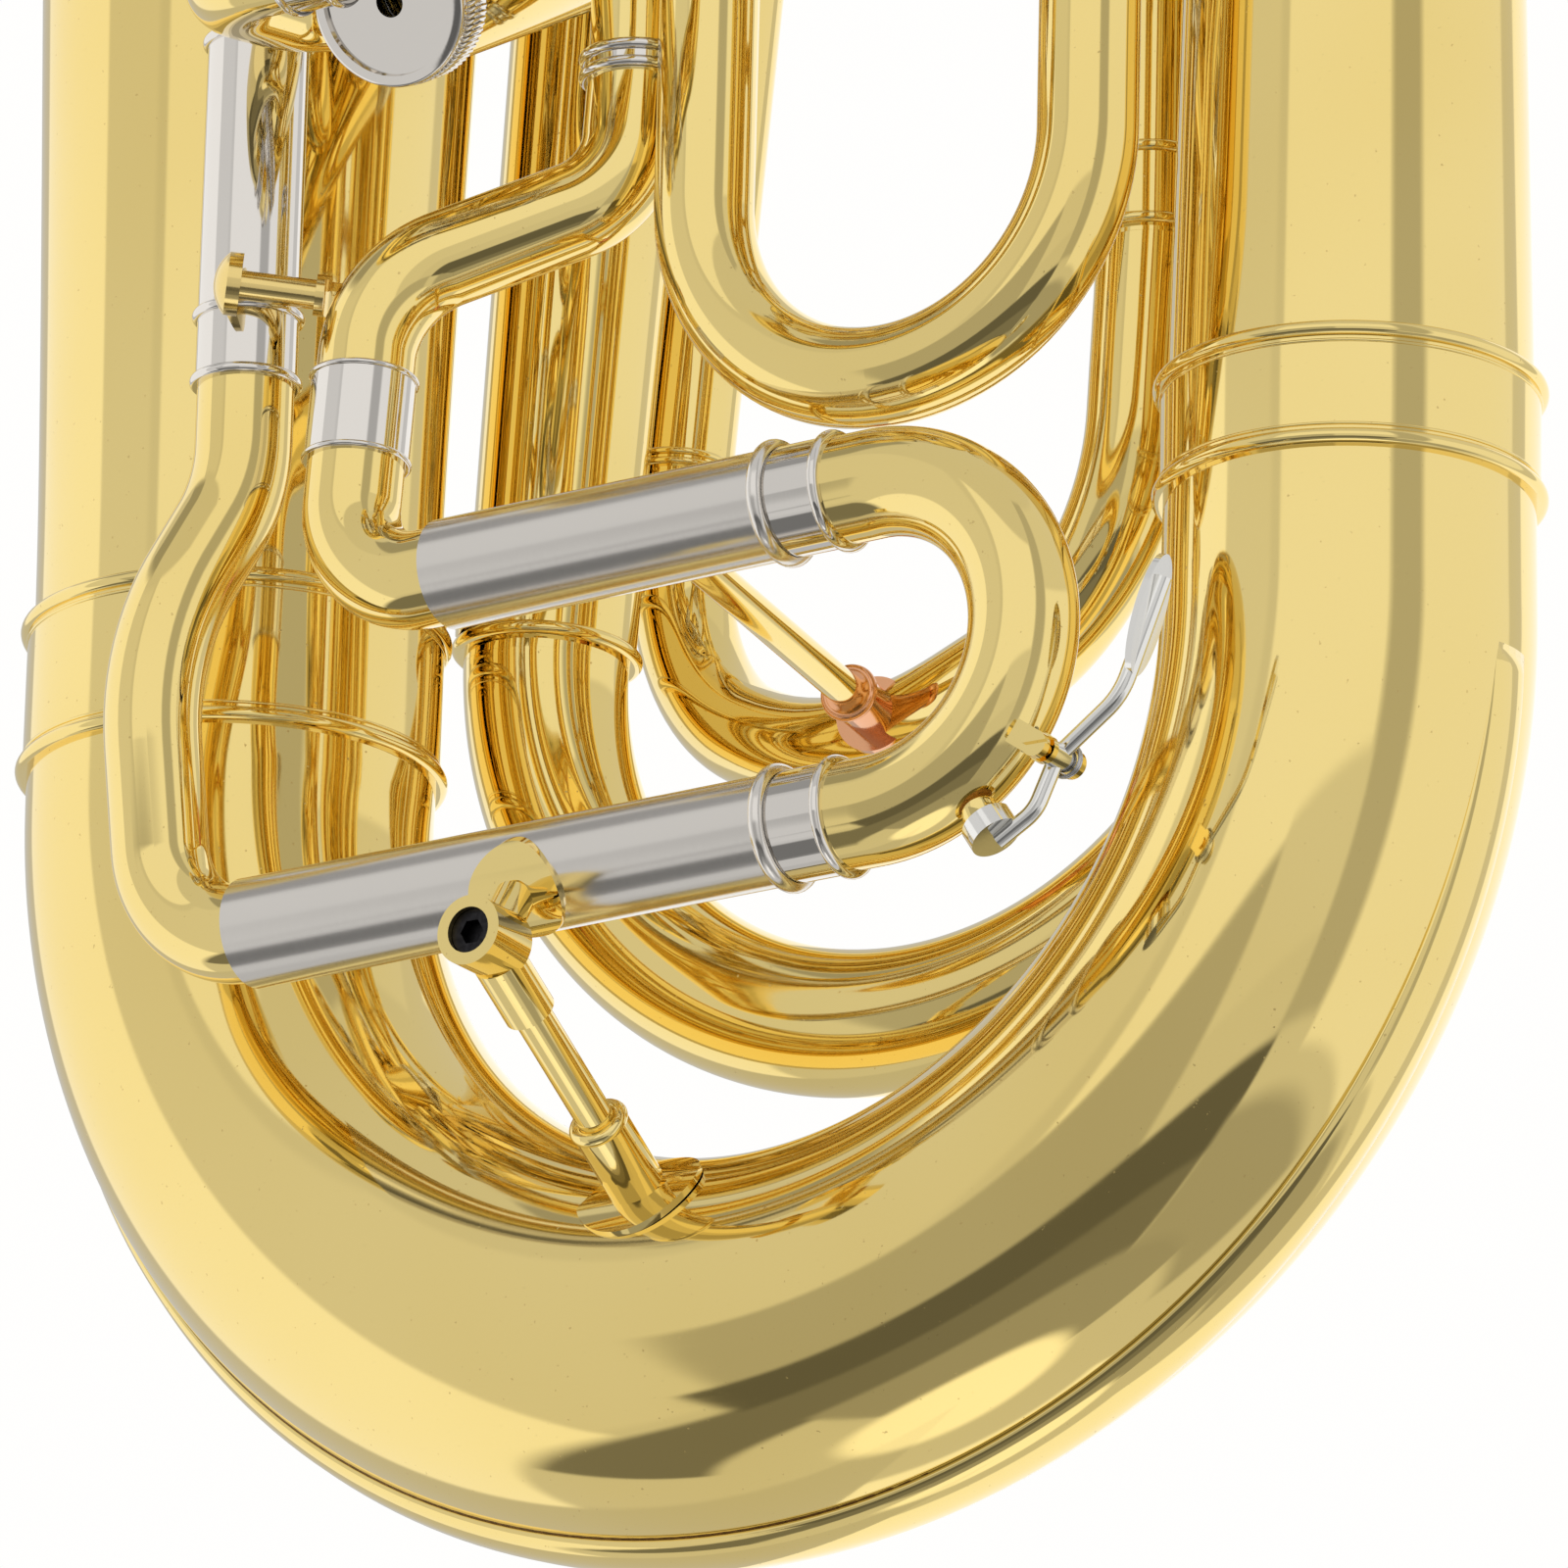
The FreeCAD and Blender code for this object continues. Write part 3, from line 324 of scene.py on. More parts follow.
def sweep(places, outer, wall=0.9, sides=72):
    """A bmesh tube along places; outer is a radius or a list of them, wall 0 gives a rod."""
    count = len(places)
    outer = outer if isinstance(outer, list) else [outer] * count
    first = places[0][1]
    spoke = first.cross(FRONT if abs(first.y) < 0.9 else RIGHT).normalized()
    shape = bmesh.new()
    skins = ([], [])
    for (place, heading), radius in zip(places, outer):
        spoke = (spoke - heading * spoke.dot(heading)).normalized()
        for skin, r in zip(skins, (radius, max(radius - wall, 0.05) if wall else None)):
            if r:
                ring = ring_points(place, spoke, heading, r, sides)
                skin.append([shape.verts.new((p + SHIFT) * MM) for p in ring])
    for number, skin in enumerate(skins):
        for low, high in zip(skin, skin[1:]):
            for k in range(sides):
                quad = [low[k], low[(k + 1) % sides], high[(k + 1) % sides], high[k]]
                shape.faces.new(quad if number == 0 else quad[::-1])
    for end in (0, -1):
        rim = skins[0][end]
        if wall:
            bore = skins[1][end]
            for k in range(sides):
                quad = [rim[k], bore[k], bore[(k + 1) % sides], rim[(k + 1) % sides]]
                shape.faces.new(quad if end == 0 else quad[::-1])
        else:
            shape.faces.new(rim[::-1] if end == 0 else rim)
    for skin in skins:
        for end in ((0, -1) if skin else ()):
            for k in range(sides):
                edge = shape.edges.get((skin[end][k], skin[end][(k + 1) % sides]))
                if edge:
                    edge.smooth = False
    return shape


def joined_mesh(name, shapes):
    """Several bmesh shapes in one mesh."""
    mesh = bpy.data.meshes.new(name)
    total = bmesh.new()
    for shape in shapes:
        part = bpy.data.meshes.new("part")
        shape.to_mesh(part)
        total.from_mesh(part)
        bpy.data.meshes.remove(part)
        shape.free()
    total.to_mesh(mesh)
    total.free()
    return mesh


def tube(node, places, outer, wall=0.9, sides=72, material=None):
    mesh = joined_mesh(node + "_skin", [sweep(places, outer, wall, sides)])
    piece = finish_piece(node + "_tube", mesh, material or brass, node)
    print(node, "faces", len(mesh.polygons))
    return piece


def taper(places, start_r, end_r):
    """Radii that change evenly with the distance run."""
    run = [0.0]
    for (a, _), (b, _) in zip(places, places[1:]):
        run.append(run[-1] + (b - a).length)
    return [start_r + (end_r - start_r) * s / run[-1] for s in run]


def cone_places(start, end, count=24):
    start, end = Vector(start), Vector(end)
    heading = (end - start).normalized()
    return [(start.lerp(end, k / count), heading) for k in range(count + 1)]


# %% [markdown]
# The bottom bow is the widest bend of the horn, from the bell's foot round to the outer branch.  Its
# tube shrinks from 84 mm across to 73 mm on the way.

# %% Bottom bow
BOW_HEIGHT, BOW_LEFT_R, BOW_RIGHT_R = 174.0, 42.0, 36.4
bow_places = half_circle((BELL_X, 0, BOW_HEIGHT), (BRANCH_X, 0, BOW_HEIGHT), DOWN, 7.6, 24.7, 128)
tube("bottom_bow", bow_places, taper(bow_places, BOW_LEFT_R, BOW_RIGHT_R), sides=128)

# %% [markdown]
# A half-round guard strip is soldered along the bow's outermost line, where the horn is set down.
# The brown hairline on both sides of it is the edge of the solder.

# %% Guard strip
def guard(name, half_width, proud, material, node=None, first=6.0, last=176.0, count=120):
    shape, rows = bmesh.new(), []
    middle = Vector(((BELL_X + BRANCH_X) / 2, 0, BOW_HEIGHT))
    reach = (BRANCH_X - BELL_X) / 2
    for k in range(count + 1):
        t = math.radians(first + (last - first) * k / count)
        tube_r = BOW_LEFT_R + (BOW_RIGHT_R - BOW_LEFT_R) * t / math.pi
        out = Vector((-math.cos(t), 0, -math.sin(t)))
        fade = max(0.02, math.sin(math.pi * (k + 0.4) / (count + 0.8))) ** 0.4
        row = []
        for j in range(9):
            lean = math.radians(-90 + 180 * j / 8)
            side = half_width * math.sin(lean) * (0.55 + 0.45 * fade)
            lift = proud * fade * math.cos(lean)
            a = side / tube_r
            row.append(shape.verts.new((middle + out * reach + (out * math.cos(a) + FRONT * math.sin(a))
                                        * (tube_r + lift - 0.05) + SHIFT) * MM))
        rows.append(row)
    for low, high in zip(rows, rows[1:]):
        for a, b, c, d in zip(low, low[1:], high[1:], high):
            shape.faces.new((a, b, c, d))
        shape.faces.new((low[-1], low[0], high[0], high[-1]))
    for row, flip in ((rows[0], False), (rows[-1], True)):
        shape.faces.new(row[::-1] if flip else row)
    bmesh.ops.recalc_face_normals(shape, faces=shape.faces)
    return finish_piece(name, joined_mesh(name, [shape]), material, node, "horn")


guard("bottom_bow_guard_strip", 9.0, 3.8, brass, "bottom_bow_guard")
guard("guard_solder_line", 9.9, 0.45, solder_line, None, 5.4, 176.6)


# %% [markdown]
# Turned pieces.  Ferrules, caps, rims and buttons are all rings: a short profile of (distance along
# the axis, radius) pairs is spun round it.  A ferrule is a thin sleeve with a half-round bead rolled
# at each end; the beads hide the joint of two tubes and stiffen it.

# %% Turned rings
def spin(centre, axis, profile, sides=96, closed=True):
    """Spins a closed outline of (along, radius) points, in mm, round an axis."""
    axis = Vector(axis).normalized()
    spoke = axis.cross(FRONT if abs(axis.y) < 0.9 else RIGHT).normalized()
    shape = bmesh.new()
    rings = []
    for along, radius in profile:
        ring = ring_points(Vector(centre) + axis * along, spoke, axis, radius, sides)
        rings.append([shape.verts.new((p + SHIFT) * MM) for p in ring])
    for low, high in zip(rings, rings[1:] + (rings[:1] if closed else [])):
        for k in range(sides):
            shape.faces.new((low[k], low[(k + 1) % sides], high[(k + 1) % sides], high[k]))
    bmesh.ops.recalc_face_normals(shape, faces=shape.faces)
    for edge in shape.edges:
        if len(edge.link_faces) == 2 and edge.calc_face_angle(0) > math.radians(50):
            edge.smooth = False
    return shape


def bead_arc(middle, base, wire, steps=10):
    return [(middle - wire * math.cos(math.pi * k / steps), base + wire * math.sin(math.pi * k / steps))
            for k in range(steps + 1)]


SEAT = 0.5                                # how far a ferrule sits into the tube, so no gap shows


def ferrule(start, along, length, tube_r, skin=0.9, wire=1.5, twin=0.0):
    """The outline of a sleeve with a bead at both ends; twin adds a fine second line inside them."""
    outer = tube_r + skin
    line = [(0.05, tube_r - SEAT), (0.05, outer)] + bead_arc(wire + 0.1, outer, wire)
    if twin:
        line += bead_arc(wire * 2 + twin * 3, outer, twin, 6)
        line += bead_arc(length - wire * 2 - twin * 3, outer, twin, 6)
    line += bead_arc(length - wire - 0.1, outer, wire) + [(length - 0.05, outer), (length - 0.05, tube_r - SEAT)]
    return spin(start, along, line)


def rings(node, name, shapes, material=None):
    piece = finish_piece(name, joined_mesh(name, shapes), material or brass, node)
    print(name, "faces", len(piece.data.polygons))
    return piece


rings("bell_ferrule", "bell_ferrule_ring", [ferrule((BELL_X, 0, 180.5), UP, 33.2, 42.0, 0.9, 1.5, 0.35)])
rings("branch_ferrule", "branch_ferrule_ring", [ferrule((BRANCH_X, 0, 197.2), UP, 25.2, 36.4, 0.9, 1.5, 0.35)])


# %% [markdown]
# The bell is one long spun cone that opens slowly and then flares.  Its radius is known at a few
# heights; a smooth curve through them gives the profile, and a heavy wire is rolled into the rim.

# %% Bell and rim
FLARE = [(41.4, 182), (42.0, 240), (45.3, 340), (49.6, 450), (55.0, 560), (64.0, 670), (78.0, 770), (100.0, 850),
         (133.0, 915), (168.0, 955), (200.0, 976)]


def smooth_profile(points, parts=10):
    """A Catmull-Rom curve through (radius, height) points."""
    padded = [points[0]] + points + [points[-1]]
    found = []
    for p0, p1, p2, p3 in zip(padded, padded[1:], padded[2:], padded[3:]):
        for k in range(parts):
            t = k / parts
            found.append(tuple(0.5 * (2 * b + (c - a) * t + (2 * a - 5 * b + 4 * c - d) * t * t
                                      + (3 * b - a - 3 * c + d) * t ** 3) for a, b, c, d in zip(p0, p1, p2, p3)))
    return found + [points[-1]]


skin_line = smooth_profile(FLARE)
bell_outline = [(z, r) for r, z in skin_line] + [(z, r - 0.9) for r, z in reversed(skin_line)]
rings("bell", "bell_spun_cone", [spin((BELL_X, 0, 0), UP, bell_outline, 160)])
rim_line = [(976.5 + 3.5 * math.cos(a), 201.2 + 3.5 * math.sin(a)) for a in
            (math.radians(15 * k) for k in range(24))]
rings("bell_rim_wire", "bell_rim_roll", [spin((BELL_X, 0, 0), UP, [(min(z, 979.6), max(r, 199.2)) for z, r in rim_line], 160)])

# %% [markdown]
# The branches behind and beside the bell.  Each is a gently tapered tube; the bows that join them
# are half circles.  They are the mirrors that turn the gaps between tubes to deep gold.

# %% Branches and bows
TOP = 560.0
INNER_TOP, INNER_LOW, INNER_FAR = Vector((-76, 60, TOP)), Vector((-91, 48.6, 214)), Vector((87, 48.6, 214))
SECOND_START, SECOND_END = Vector((87, 48.6, 480)), Vector((-72, 97, 480))
SMALL_LOW, SMALL_FAR, SMALL_R = Vector((-78.5, 79, 262)), Vector((66, 25, 272)), 10.7
EXIT_TOP = Vector((66, 25, 470))


def branch_radius(z):
    return 36.4 - 0.0225 * (z - 199.0)


def tapered(node, places, start_r, end_r, **more):
    return tube(node, places, taper(places, start_r, end_r), **more)


tapered("outer_branch", cone_places((BRANCH_X, 0, 199), (BRANCH_X, 0, TOP)), 36.4, branch_radius(TOP), sides=112)
tapered("top_bow", half_circle((BRANCH_X, 0, TOP), INNER_TOP, UP), branch_radius(TOP), 22.0, sides=96)
lean = (INNER_LOW - INNER_TOP).normalized()
tapered("inner_branch", cone_places(INNER_TOP - lean * 1.2, INNER_LOW + lean * 1.2), 22.0, 17.2, sides=96)
tapered("inner_bottom_bow", half_circle(INNER_LOW, INNER_FAR, DOWN, count=110), 17.2, 12.5, sides=96)
tapered("inner_up_branch", cone_places(INNER_FAR, SECOND_START), 12.5, 12.0)
tapered("second_top_bow", half_circle(SECOND_START, SECOND_END, UP), 12.0, 11.6)
fall = (SMALL_LOW - SECOND_END).normalized()
tapered("small_down_branch", cone_places(SECOND_END - fall * 1.0, SMALL_LOW + fall * 1.0), 11.6, SMALL_R)
SMALL_ROUTE = [SMALL_LOW, (-77, 79, 212), (-20, 54, 182), (60, 29, 200), SMALL_FAR]
tube("small_bottom_bow", route(SMALL_ROUTE, [52, 98, 50]), SMALL_R)

# %% Sleeves on the inner tubes
lean, fall = -lean, -fall
rings("bore_ferrules", "inner_tube_sleeves", [
    ferrule((BRANCH_X, 0, TOP - 14), UP, 28, branch_radius(TOP - 14) + 0.2),
    ferrule(INNER_TOP - lean * 16, lean, 30, 22.0),
    ferrule(INNER_LOW + lean, lean, 22, 17.5),
    ferrule(INNER_FAR + UP * 2, UP, 22, 12.5),
    ferrule(SECOND_START - UP * 20, UP, 20, 12.1),
    ferrule(SECOND_END - fall * 20, fall, 20, 11.6),
    ferrule(SMALL_LOW, fall, 4, SMALL_R + 0.1, 0.5, 0.8),
    ferrule(SMALL_FAR, UP, 18, SMALL_R, 0.8, 1.2),
    ferrule(EXIT_TOP - UP * 18, UP, 18, SMALL_R, 0.8, 1.2)])

# %% [markdown]
# The leadpipe carries the player's air down from the mouthpiece to the main tuning slide.  A
# polished nickel sleeve with three fine rings joins it to the crook below.

# %% Leadpipe, sleeve and crooks
SLIDE_TILT = math.radians(1.3)
SLIDE_WAY = Vector((math.cos(SLIDE_TILT), 0, math.sin(SLIDE_TILT)))
LOWER_START, UPPER_START = Vector((-81, -70, 121)), Vector((-37.5, -70, 188.7))
LOWER_LENGTH, UPPER_LENGTH = 125.3, 79.5
FEED = Vector((-13.5, -43.5, 300))

lead = route([(-90, -66, 313), (-90, -66, 560), (-90, -82, 640), (-42, -118, 640)], [80, 40])
tapered("leadpipe", lead, 9.8, 6.9)
turn = LOWER_START - SLIDE_WAY * 20
tube("lower_crook", route([(-90, -66, 251.5), (-90, -66, 216), (turn.x, -81, 180), turn, LOWER_START],
                          [40, 60, 19.5]), 9.8)
crook_route = [UPPER_START, UPPER_START - SLIDE_WAY * 24.5, Vector((-60.3, -65.5, 255)),
               Vector((-14.5, -44.5, 274)), FEED]
tube("upper_crook", route(crook_route, [18.5, 24, 17]), 9.8)
rise = (crook_route[2] - crook_route[1]).normalized()
climb = Vector((42, 0, 12)).normalized()
rings("crook_ferrules", "crook_collars", [
    ferrule(crook_route[1] + rise * 28, rise, 19, 9.8, 0.7, 0.6), ferrule(FEED - UP * 3.2, UP, 6.4, 9.8, 0.7, 1.2),
    ferrule((-52, -112, 306), RIGHT, 12, 9.6, 0.6, 0.8),
    ferrule(Vector((-30, -112, 306)) + climb * 7, climb, 5, 9.6, 0.6, 0.8)], bright_nickel)


def sleeve(start, along, length, radius, beads, wire, wall=0.6):
    """A nickel tube with beads at the given distances along it."""
    line = [(0, radius - wall), (0, radius)]
    for place in sorted(beads):
        low, high = max(place - wire, 0.02), min(place + wire, length - 0.02)
        line += [(min(max(s, low), high), r) for s, r in bead_arc(place, radius, wire)]
    return spin(start, along, line + [(length, radius), (length, radius - wall)])


rings("leadpipe_sleeve", "leadpipe_sleeve_ringed", [sleeve((-90, -66, 238), UP, 75, 10.3, [1, 15, 74], 1.1, 0.5)],
      bright_nickel)

# %% [markdown]
# The main tuning slide lies across the front: two satin tubes with bright inner legs that run in
# them, a brass bow with a soldered collar on each leg, and a water key on the bow.

# %% Main tuning slide
SLIDE_REACH, COLLAR, SLIDE_BOW_R = 18.0, 12.5, 10.7
rings("tuning_outer_tubes", "tuning_slide_outer_tubes", [
    sleeve(start, SLIDE_WAY, length, 11.0, [length - 1.75], 1.7, 0.45)
    for start, length in ((LOWER_START, LOWER_LENGTH), (UPPER_START, UPPER_LENGTH))], satin_nickel)
slide_ends = [LOWER_START + SLIDE_WAY * LOWER_LENGTH, UPPER_START + SLIDE_WAY * UPPER_LENGTH]


def collared_leg(end, way, leg, collar, wire, inner_r=10.5, collar_r=11.0):
    """The inner leg of a slide with its collar and the bead that a thumb pushes against."""
    bore = inner_r - 0.6
    line = [(-leg, bore), (-leg, inner_r), (0.4, inner_r), (0.4, collar_r)]
    line += bead_arc(collar - wire, collar_r, wire) if wire else []
    return spin(end, way, line + [(collar, collar_r), (collar, bore)])


rings("main_slide_legs", "main_slide_legs_collared",
      [collared_leg(end, SLIDE_WAY, 70, COLLAR, 1.15) for end in slide_ends], bright_nickel)
bend_low = slide_ends[0] + SLIDE_WAY * SLIDE_REACH
bend_high = slide_ends[1] + SLIDE_WAY * SLIDE_WAY.dot(bend_low - slide_ends[1])
bow_middle, bow_half = (bend_low + bend_high) / 2, (bend_high - bend_low).length / 2
bow_top = (bend_high - bend_low).normalized()
bow_line = ([(slide_ends[0] + SLIDE_WAY * (COLLAR - 0.3), SLIDE_WAY)]
            + half_circle(bend_low, bend_high, SLIDE_WAY, count=84)
            + [(slide_ends[1] + SLIDE_WAY * (COLLAR - 0.3), -SLIDE_WAY)])
drain = SLIDE_WAY * math.cos(math.radians(-58)) + bow_top * math.sin(math.radians(-58))
nipple = spin(bow_middle + drain * (bow_half + SLIDE_BOW_R - 1.3), drain,
              [(0, 2.2), (0, 3.6), (3.2, 3.6), (3.6, 3.2), (3.6, 2.2)], 48)
finish_piece("main_slide_bow_tube", joined_mesh("main_slide_bow", [sweep(bow_line, SLIDE_BOW_R, 0.9, 88), nipple]),
             brass, "main_slide_bow")
print("slide bow radius", round(bow_half, 2), "mm")


# %% [markdown]
# Small cast fittings keep the shape the frame gives them.  Their mesh comes as loose triangles, so a
# copy is merged, the facets of round faces are blended and only true corners stay sharp.

# %% Small fittings
def polished_copy(node, name, material, corner=28):
    shape = bmesh.new()
    shape.from_mesh(nodes[node].data)
    bmesh.ops.remove_doubles(shape, verts=shape.verts, dist=0.000004)
    for edge in shape.edges:
        edge.smooth = len(edge.link_faces) == 2 and edge.calc_face_angle(0) < math.radians(corner)
    mesh = bpy.data.meshes.new(name)
    shape.to_mesh(mesh)
    shape.free()
    mesh.materials.clear()
    return finish_piece(name, mesh, material, node)


FITTINGS = [("mouthpiece_receiver", "mouthpiece_receiver_cup", bright_nickel),
            ("water_key_saddle", "water_key_saddle_posts", brass),
            ("water_key_lever", "water_key_lever_arm", silver_plate),
            ("water_key_cork", "water_key_cork_pad", cork),
            ("strut_brace", "bow_strut", brass), ("strut_screw", "bow_strut_screw", black_oxide),
            ("tube_braces", "brace_rods_and_flanges", brass), ("copper_socket", "rod_socket", copper),
            ("sleeve_clamp", "sleeve_clamp_screw", worn_brass), ("thumb_ring", "thumb_ring_loop", brass),
            ("valve_knuckles", "valve_knuckle_tubes", brass)]
for node, name, material in FITTINGS:
    polished_copy(node, name, material)
print("fittings", len(FITTINGS))

# %% [markdown]
# The four piston valves stand one above the other, each leaning back by thirty degrees.  A tube that
# meets a casing ends in a saddle: the points of its last ring slide sideways until they touch the
# casing's round wall, so no gap shows and nothing sticks into the piston.

# %% Valve casings and their tubes
VALVE_LEAN = math.radians(30)
VALVE_AXIS = Vector((0, math.cos(VALVE_LEAN), math.sin(VALVE_LEAN)))
VALVE_SIDE = Vector((0, -math.sin(VALVE_LEAN), math.cos(VALVE_LEAN)))
CASING_LENGTH, CASING_R, CAP_R, PORT_R = 91.0, 15.5, 17.0, 9.6


def valve_base(number):
    return Vector((-41, -88, 305 + 44 * (4 - number)))


def port(number, y):
    base = valve_base(number)
    return Vector((base.x, y, base.z + (y - base.y) * math.tan(VALVE_LEAN)))


def valve_tube(shapes_name, node, numbers, runs):
    """Sweeps of (places, radii) whose ends that lie in a casing are fitted to its wall."""
    shapes = []
    for places, radii, side in runs:
        shape = sweep(places, radii, 0.9, 72)
        for vert in shape.verts:
            spot = vert.co / MM - SHIFT
            for number in numbers:
                away = spot - valve_base(number)
                along, over = away.dot(VALVE_AXIS), away.dot(VALVE_SIDE)
                if 0 < along < CASING_LENGTH and away.x ** 2 + over ** 2 < 15.3 ** 2:
                    spot.x = valve_base(number).x + side * math.sqrt(15.3 ** 2 - over ** 2)
                    vert.co = (spot + SHIFT) * MM
        shapes.append(shape)
    return finish_piece(shapes_name, joined_mesh(shapes_name, shapes), brass, node)


casing_line = [(0, 14.1), (0, 15.3), (0.4, 15.5), (CASING_LENGTH - 0.4, 15.5), (CASING_LENGTH, 15.3),
               (CASING_LENGTH, 14.1)]
for number in range(1, 5):
    rings("valve_casing_%d" % number, "valve_casing_%d_shell" % number,
          [spin(valve_base(number), VALVE_AXIS, casing_line)], brass)

entry, leave = port(1, FEED.y), port(4, -22.5)
valve_tube("feed_pipe_tube", "feed_pipe", [1],
           [(route([FEED, Vector((FEED.x, FEED.y, entry.z)), entry], [11.9]), PORT_R, 1)])
exit_side = Vector((-70, leave.y, leave.z))
exit_top = Vector((-70, leave.y, EXIT_TOP.z))
exit_line = route([leave, exit_side, exit_top], [13]) + half_circle(exit_top, EXIT_TOP, UP)[1:]
exit_line += cone_places(EXIT_TOP, SMALL_FAR - UP * 1.2)[1:]
rising = sum(1 for place, _ in exit_line if (place - exit_top).length > 0.01 and place.z <= exit_top.z
             and place.x < -60)
exit_radii = [PORT_R if k <= rising else PORT_R + (SMALL_R - PORT_R) * min(1.0, (k - rising) / 72)
              for k in range(len(exit_line))]
valve_tube("exit_pipe_tube", "exit_pipe", [4], [(exit_line, exit_radii, -1)])
print("exit pipe places", len(exit_line))


# %% [markdown]
# Each valve adds a loop of tube.  A loop leaves the casing, climbs to a pair of satin outer tubes,
# and is closed by a slide: two bright legs and a brass bow.

# %% Valve loops and slides
def side_column(number, y, x, height, bend):
    foot = port(number, y)
    return (route([foot, Vector((x, y, foot.z)), Vector((x, y, height))], [bend]), PORT_R, 1 if x > -41 else -1)


def outer_leg(start, length):
    line = [(0, 10.55), (0, 11.0), (length - 2.9, 11.0)]
    return spin(start, UP, line + bead_arc(length - 1.45, 11.4, 1.4) + [(length - 0.02, 10.55)])


def valve_loop(number, runs, ends, leg, low):
    """The fixed tubing, its two outer tubes and the sliding bow of one valve."""
    piece = valve_tube("valve_%d_loop" % number, "valve_tubing_%d" % number, [number], runs)
    legs = joined_mesh("valve_%d_outer_tubes" % number, [outer_leg(Vector((e.x, e.y, low)), e.z - low) for e in ends])
    finish_piece("valve_%d_outer_tubes" % number, legs, satin_nickel, None, "horn")
    half = (ends[1] - ends[0]).length / 2
    bow = ([(ends[0] + UP * 8.9, UP.copy())] + half_circle(ends[0] + UP * 11, ends[1] + UP * 11, UP, count=60)
           + [(ends[1] + UP * 8.9, DOWN.copy())])
    node = "valve_slide_%d" % number
    tube(node, bow, 10.0)
    inner = joined_mesh(node + "_legs", [collared_leg(e, UP, leg, 9.0, 0) for e in ends])
    finish_piece(node + "_legs", inner, bright_nickel, None, body_of_node[node])
    print("valve", number, "slide legs", leg, "mm, spacing", round(half * 2, 1))
    return piece


def short_loop(number, x, low, high, leg, ys):
    valve_loop(number, [side_column(number, y, x, low, 14) for y in ys],
               [Vector((x, y, high)) for y in ys], leg, low)


short_loop(1, -6, 492, 532, 37, (-68.0, -24.0))
short_loop(2, 18, 446, 480, 31, (-66.0, -23.0))
foot = port(3, -66.0)
LOOP_LEFT, LOOP_RIGHT, LOOP_Y, LOOP_LOW = 7.4, 95.4, -50.0, 221.6
third = route([foot, (LOOP_LEFT, foot.y, foot.z), (LOOP_LEFT, LOOP_Y, 325), (LOOP_LEFT, LOOP_Y, LOOP_LOW),
               (LOOP_RIGHT, LOOP_Y, LOOP_LOW), (LOOP_RIGHT, LOOP_Y, 404)], [13, 16, 43.9, 43.9])
valve_loop(3, [(third, 10.0, 1), side_column(3, -24.0, 80, 404, 14)],
           [Vector((LOOP_RIGHT, LOOP_Y, 460)), Vector((80, -24, 460))], 46, 404)
foot = port(4, -73.5)
fourth = route([foot + LEFT * 7, (-72, foot.y, foot.z), (-72, -112, 306), (-30, -112, 306), (12, -112, 318),
                (12, -112, 390)], [14.5, 14.5, 30, 18])
valve_loop(4, [(fourth, PORT_R, -1), side_column(4, -46.0, -70, 390, 13)],
           [Vector((12, -112, 485)), Vector((-70, -46, 485))], 72, 390)

# %% [markdown]
# Screw caps close both ends of every casing.  A cap is a turned ring with a fine knurl for the
# fingers.  The knurl repeats, so Geometry Nodes lays one small rib round a circle: the tree has named
# inputs for the count, the radius and the rib's size, and ends in Realize Instances and Set Material.

# %% Knurled caps
def group_input(tree, name, kind, value):
    socket = tree.interface.new_socket(name, in_out="INPUT", socket_type=kind)
    socket.default_value = value
    return socket.identifier


def bake_nodes(tree, values, name):
    """Runs a node tree on an empty mesh and hands back the plain mesh."""
    holder = bpy.data.objects.new(name, bpy.data.meshes.new(name))
    scene.collection.objects.link(holder)
    modifier = holder.modifiers.new(name, "NODES")
    modifier.node_group = tree
    for identifier, value in values.items():
        modifier[identifier] = value
    evaluated = holder.evaluated_get(bpy.context.evaluated_depsgraph_get())
    mesh = bpy.data.meshes.new_from_object(evaluated)
    holder.modifiers.remove(modifier)
    bpy.data.objects.remove(holder)
    mesh.materials.clear()
    return mesh


def knurl_tree(material):
    tree = bpy.data.node_groups.new("knurl_ribs", "GeometryNodeTree")
    names = {key: group_input(tree, key, kind, value) for key, kind, value in (
        ("Rib Count", "NodeSocketInt", 60), ("Ring Radius", "NodeSocketFloat", 0.017),
        ("Rib Width", "NodeSocketFloat", 0.0005), ("Rib Length", "NodeSocketFloat", 0.008))}
    tree.interface.new_socket("Geometry", in_out="OUTPUT", socket_type="NodeSocketGeometry")
    add, link = tree.nodes.new, tree.links.new
    inputs, result = add("NodeGroupInput"), add("NodeGroupOutput")
    circle, points, rib = add("GeometryNodeMeshCircle"), add("GeometryNodeMeshToPoints"), add("GeometryNodeMeshCylinder")
    rib.inputs["Vertices"].default_value = 6
    place, realize, paint = (add("GeometryNodeInstanceOnPoints"), add("GeometryNodeRealizeInstances"),
                             add("GeometryNodeSetMaterial"))
    link(inputs.outputs["Rib Count"], circle.inputs["Vertices"])
    link(inputs.outputs["Ring Radius"], circle.inputs["Radius"])
    link(inputs.outputs["Rib Width"], rib.inputs["Radius"])
    link(inputs.outputs["Rib Length"], rib.inputs["Depth"])
    link(circle.outputs["Mesh"], points.inputs["Mesh"])
    link(points.outputs["Points"], place.inputs["Points"])
    link(rib.outputs["Mesh"], place.inputs["Instance"])
    link(place.outputs["Instances"], realize.inputs["Geometry"])
    link(realize.outputs["Geometry"], paint.inputs["Geometry"])
    paint.inputs["Material"].default_value = material
    link(paint.outputs["Geometry"], result.inputs[0])
    return tree, names


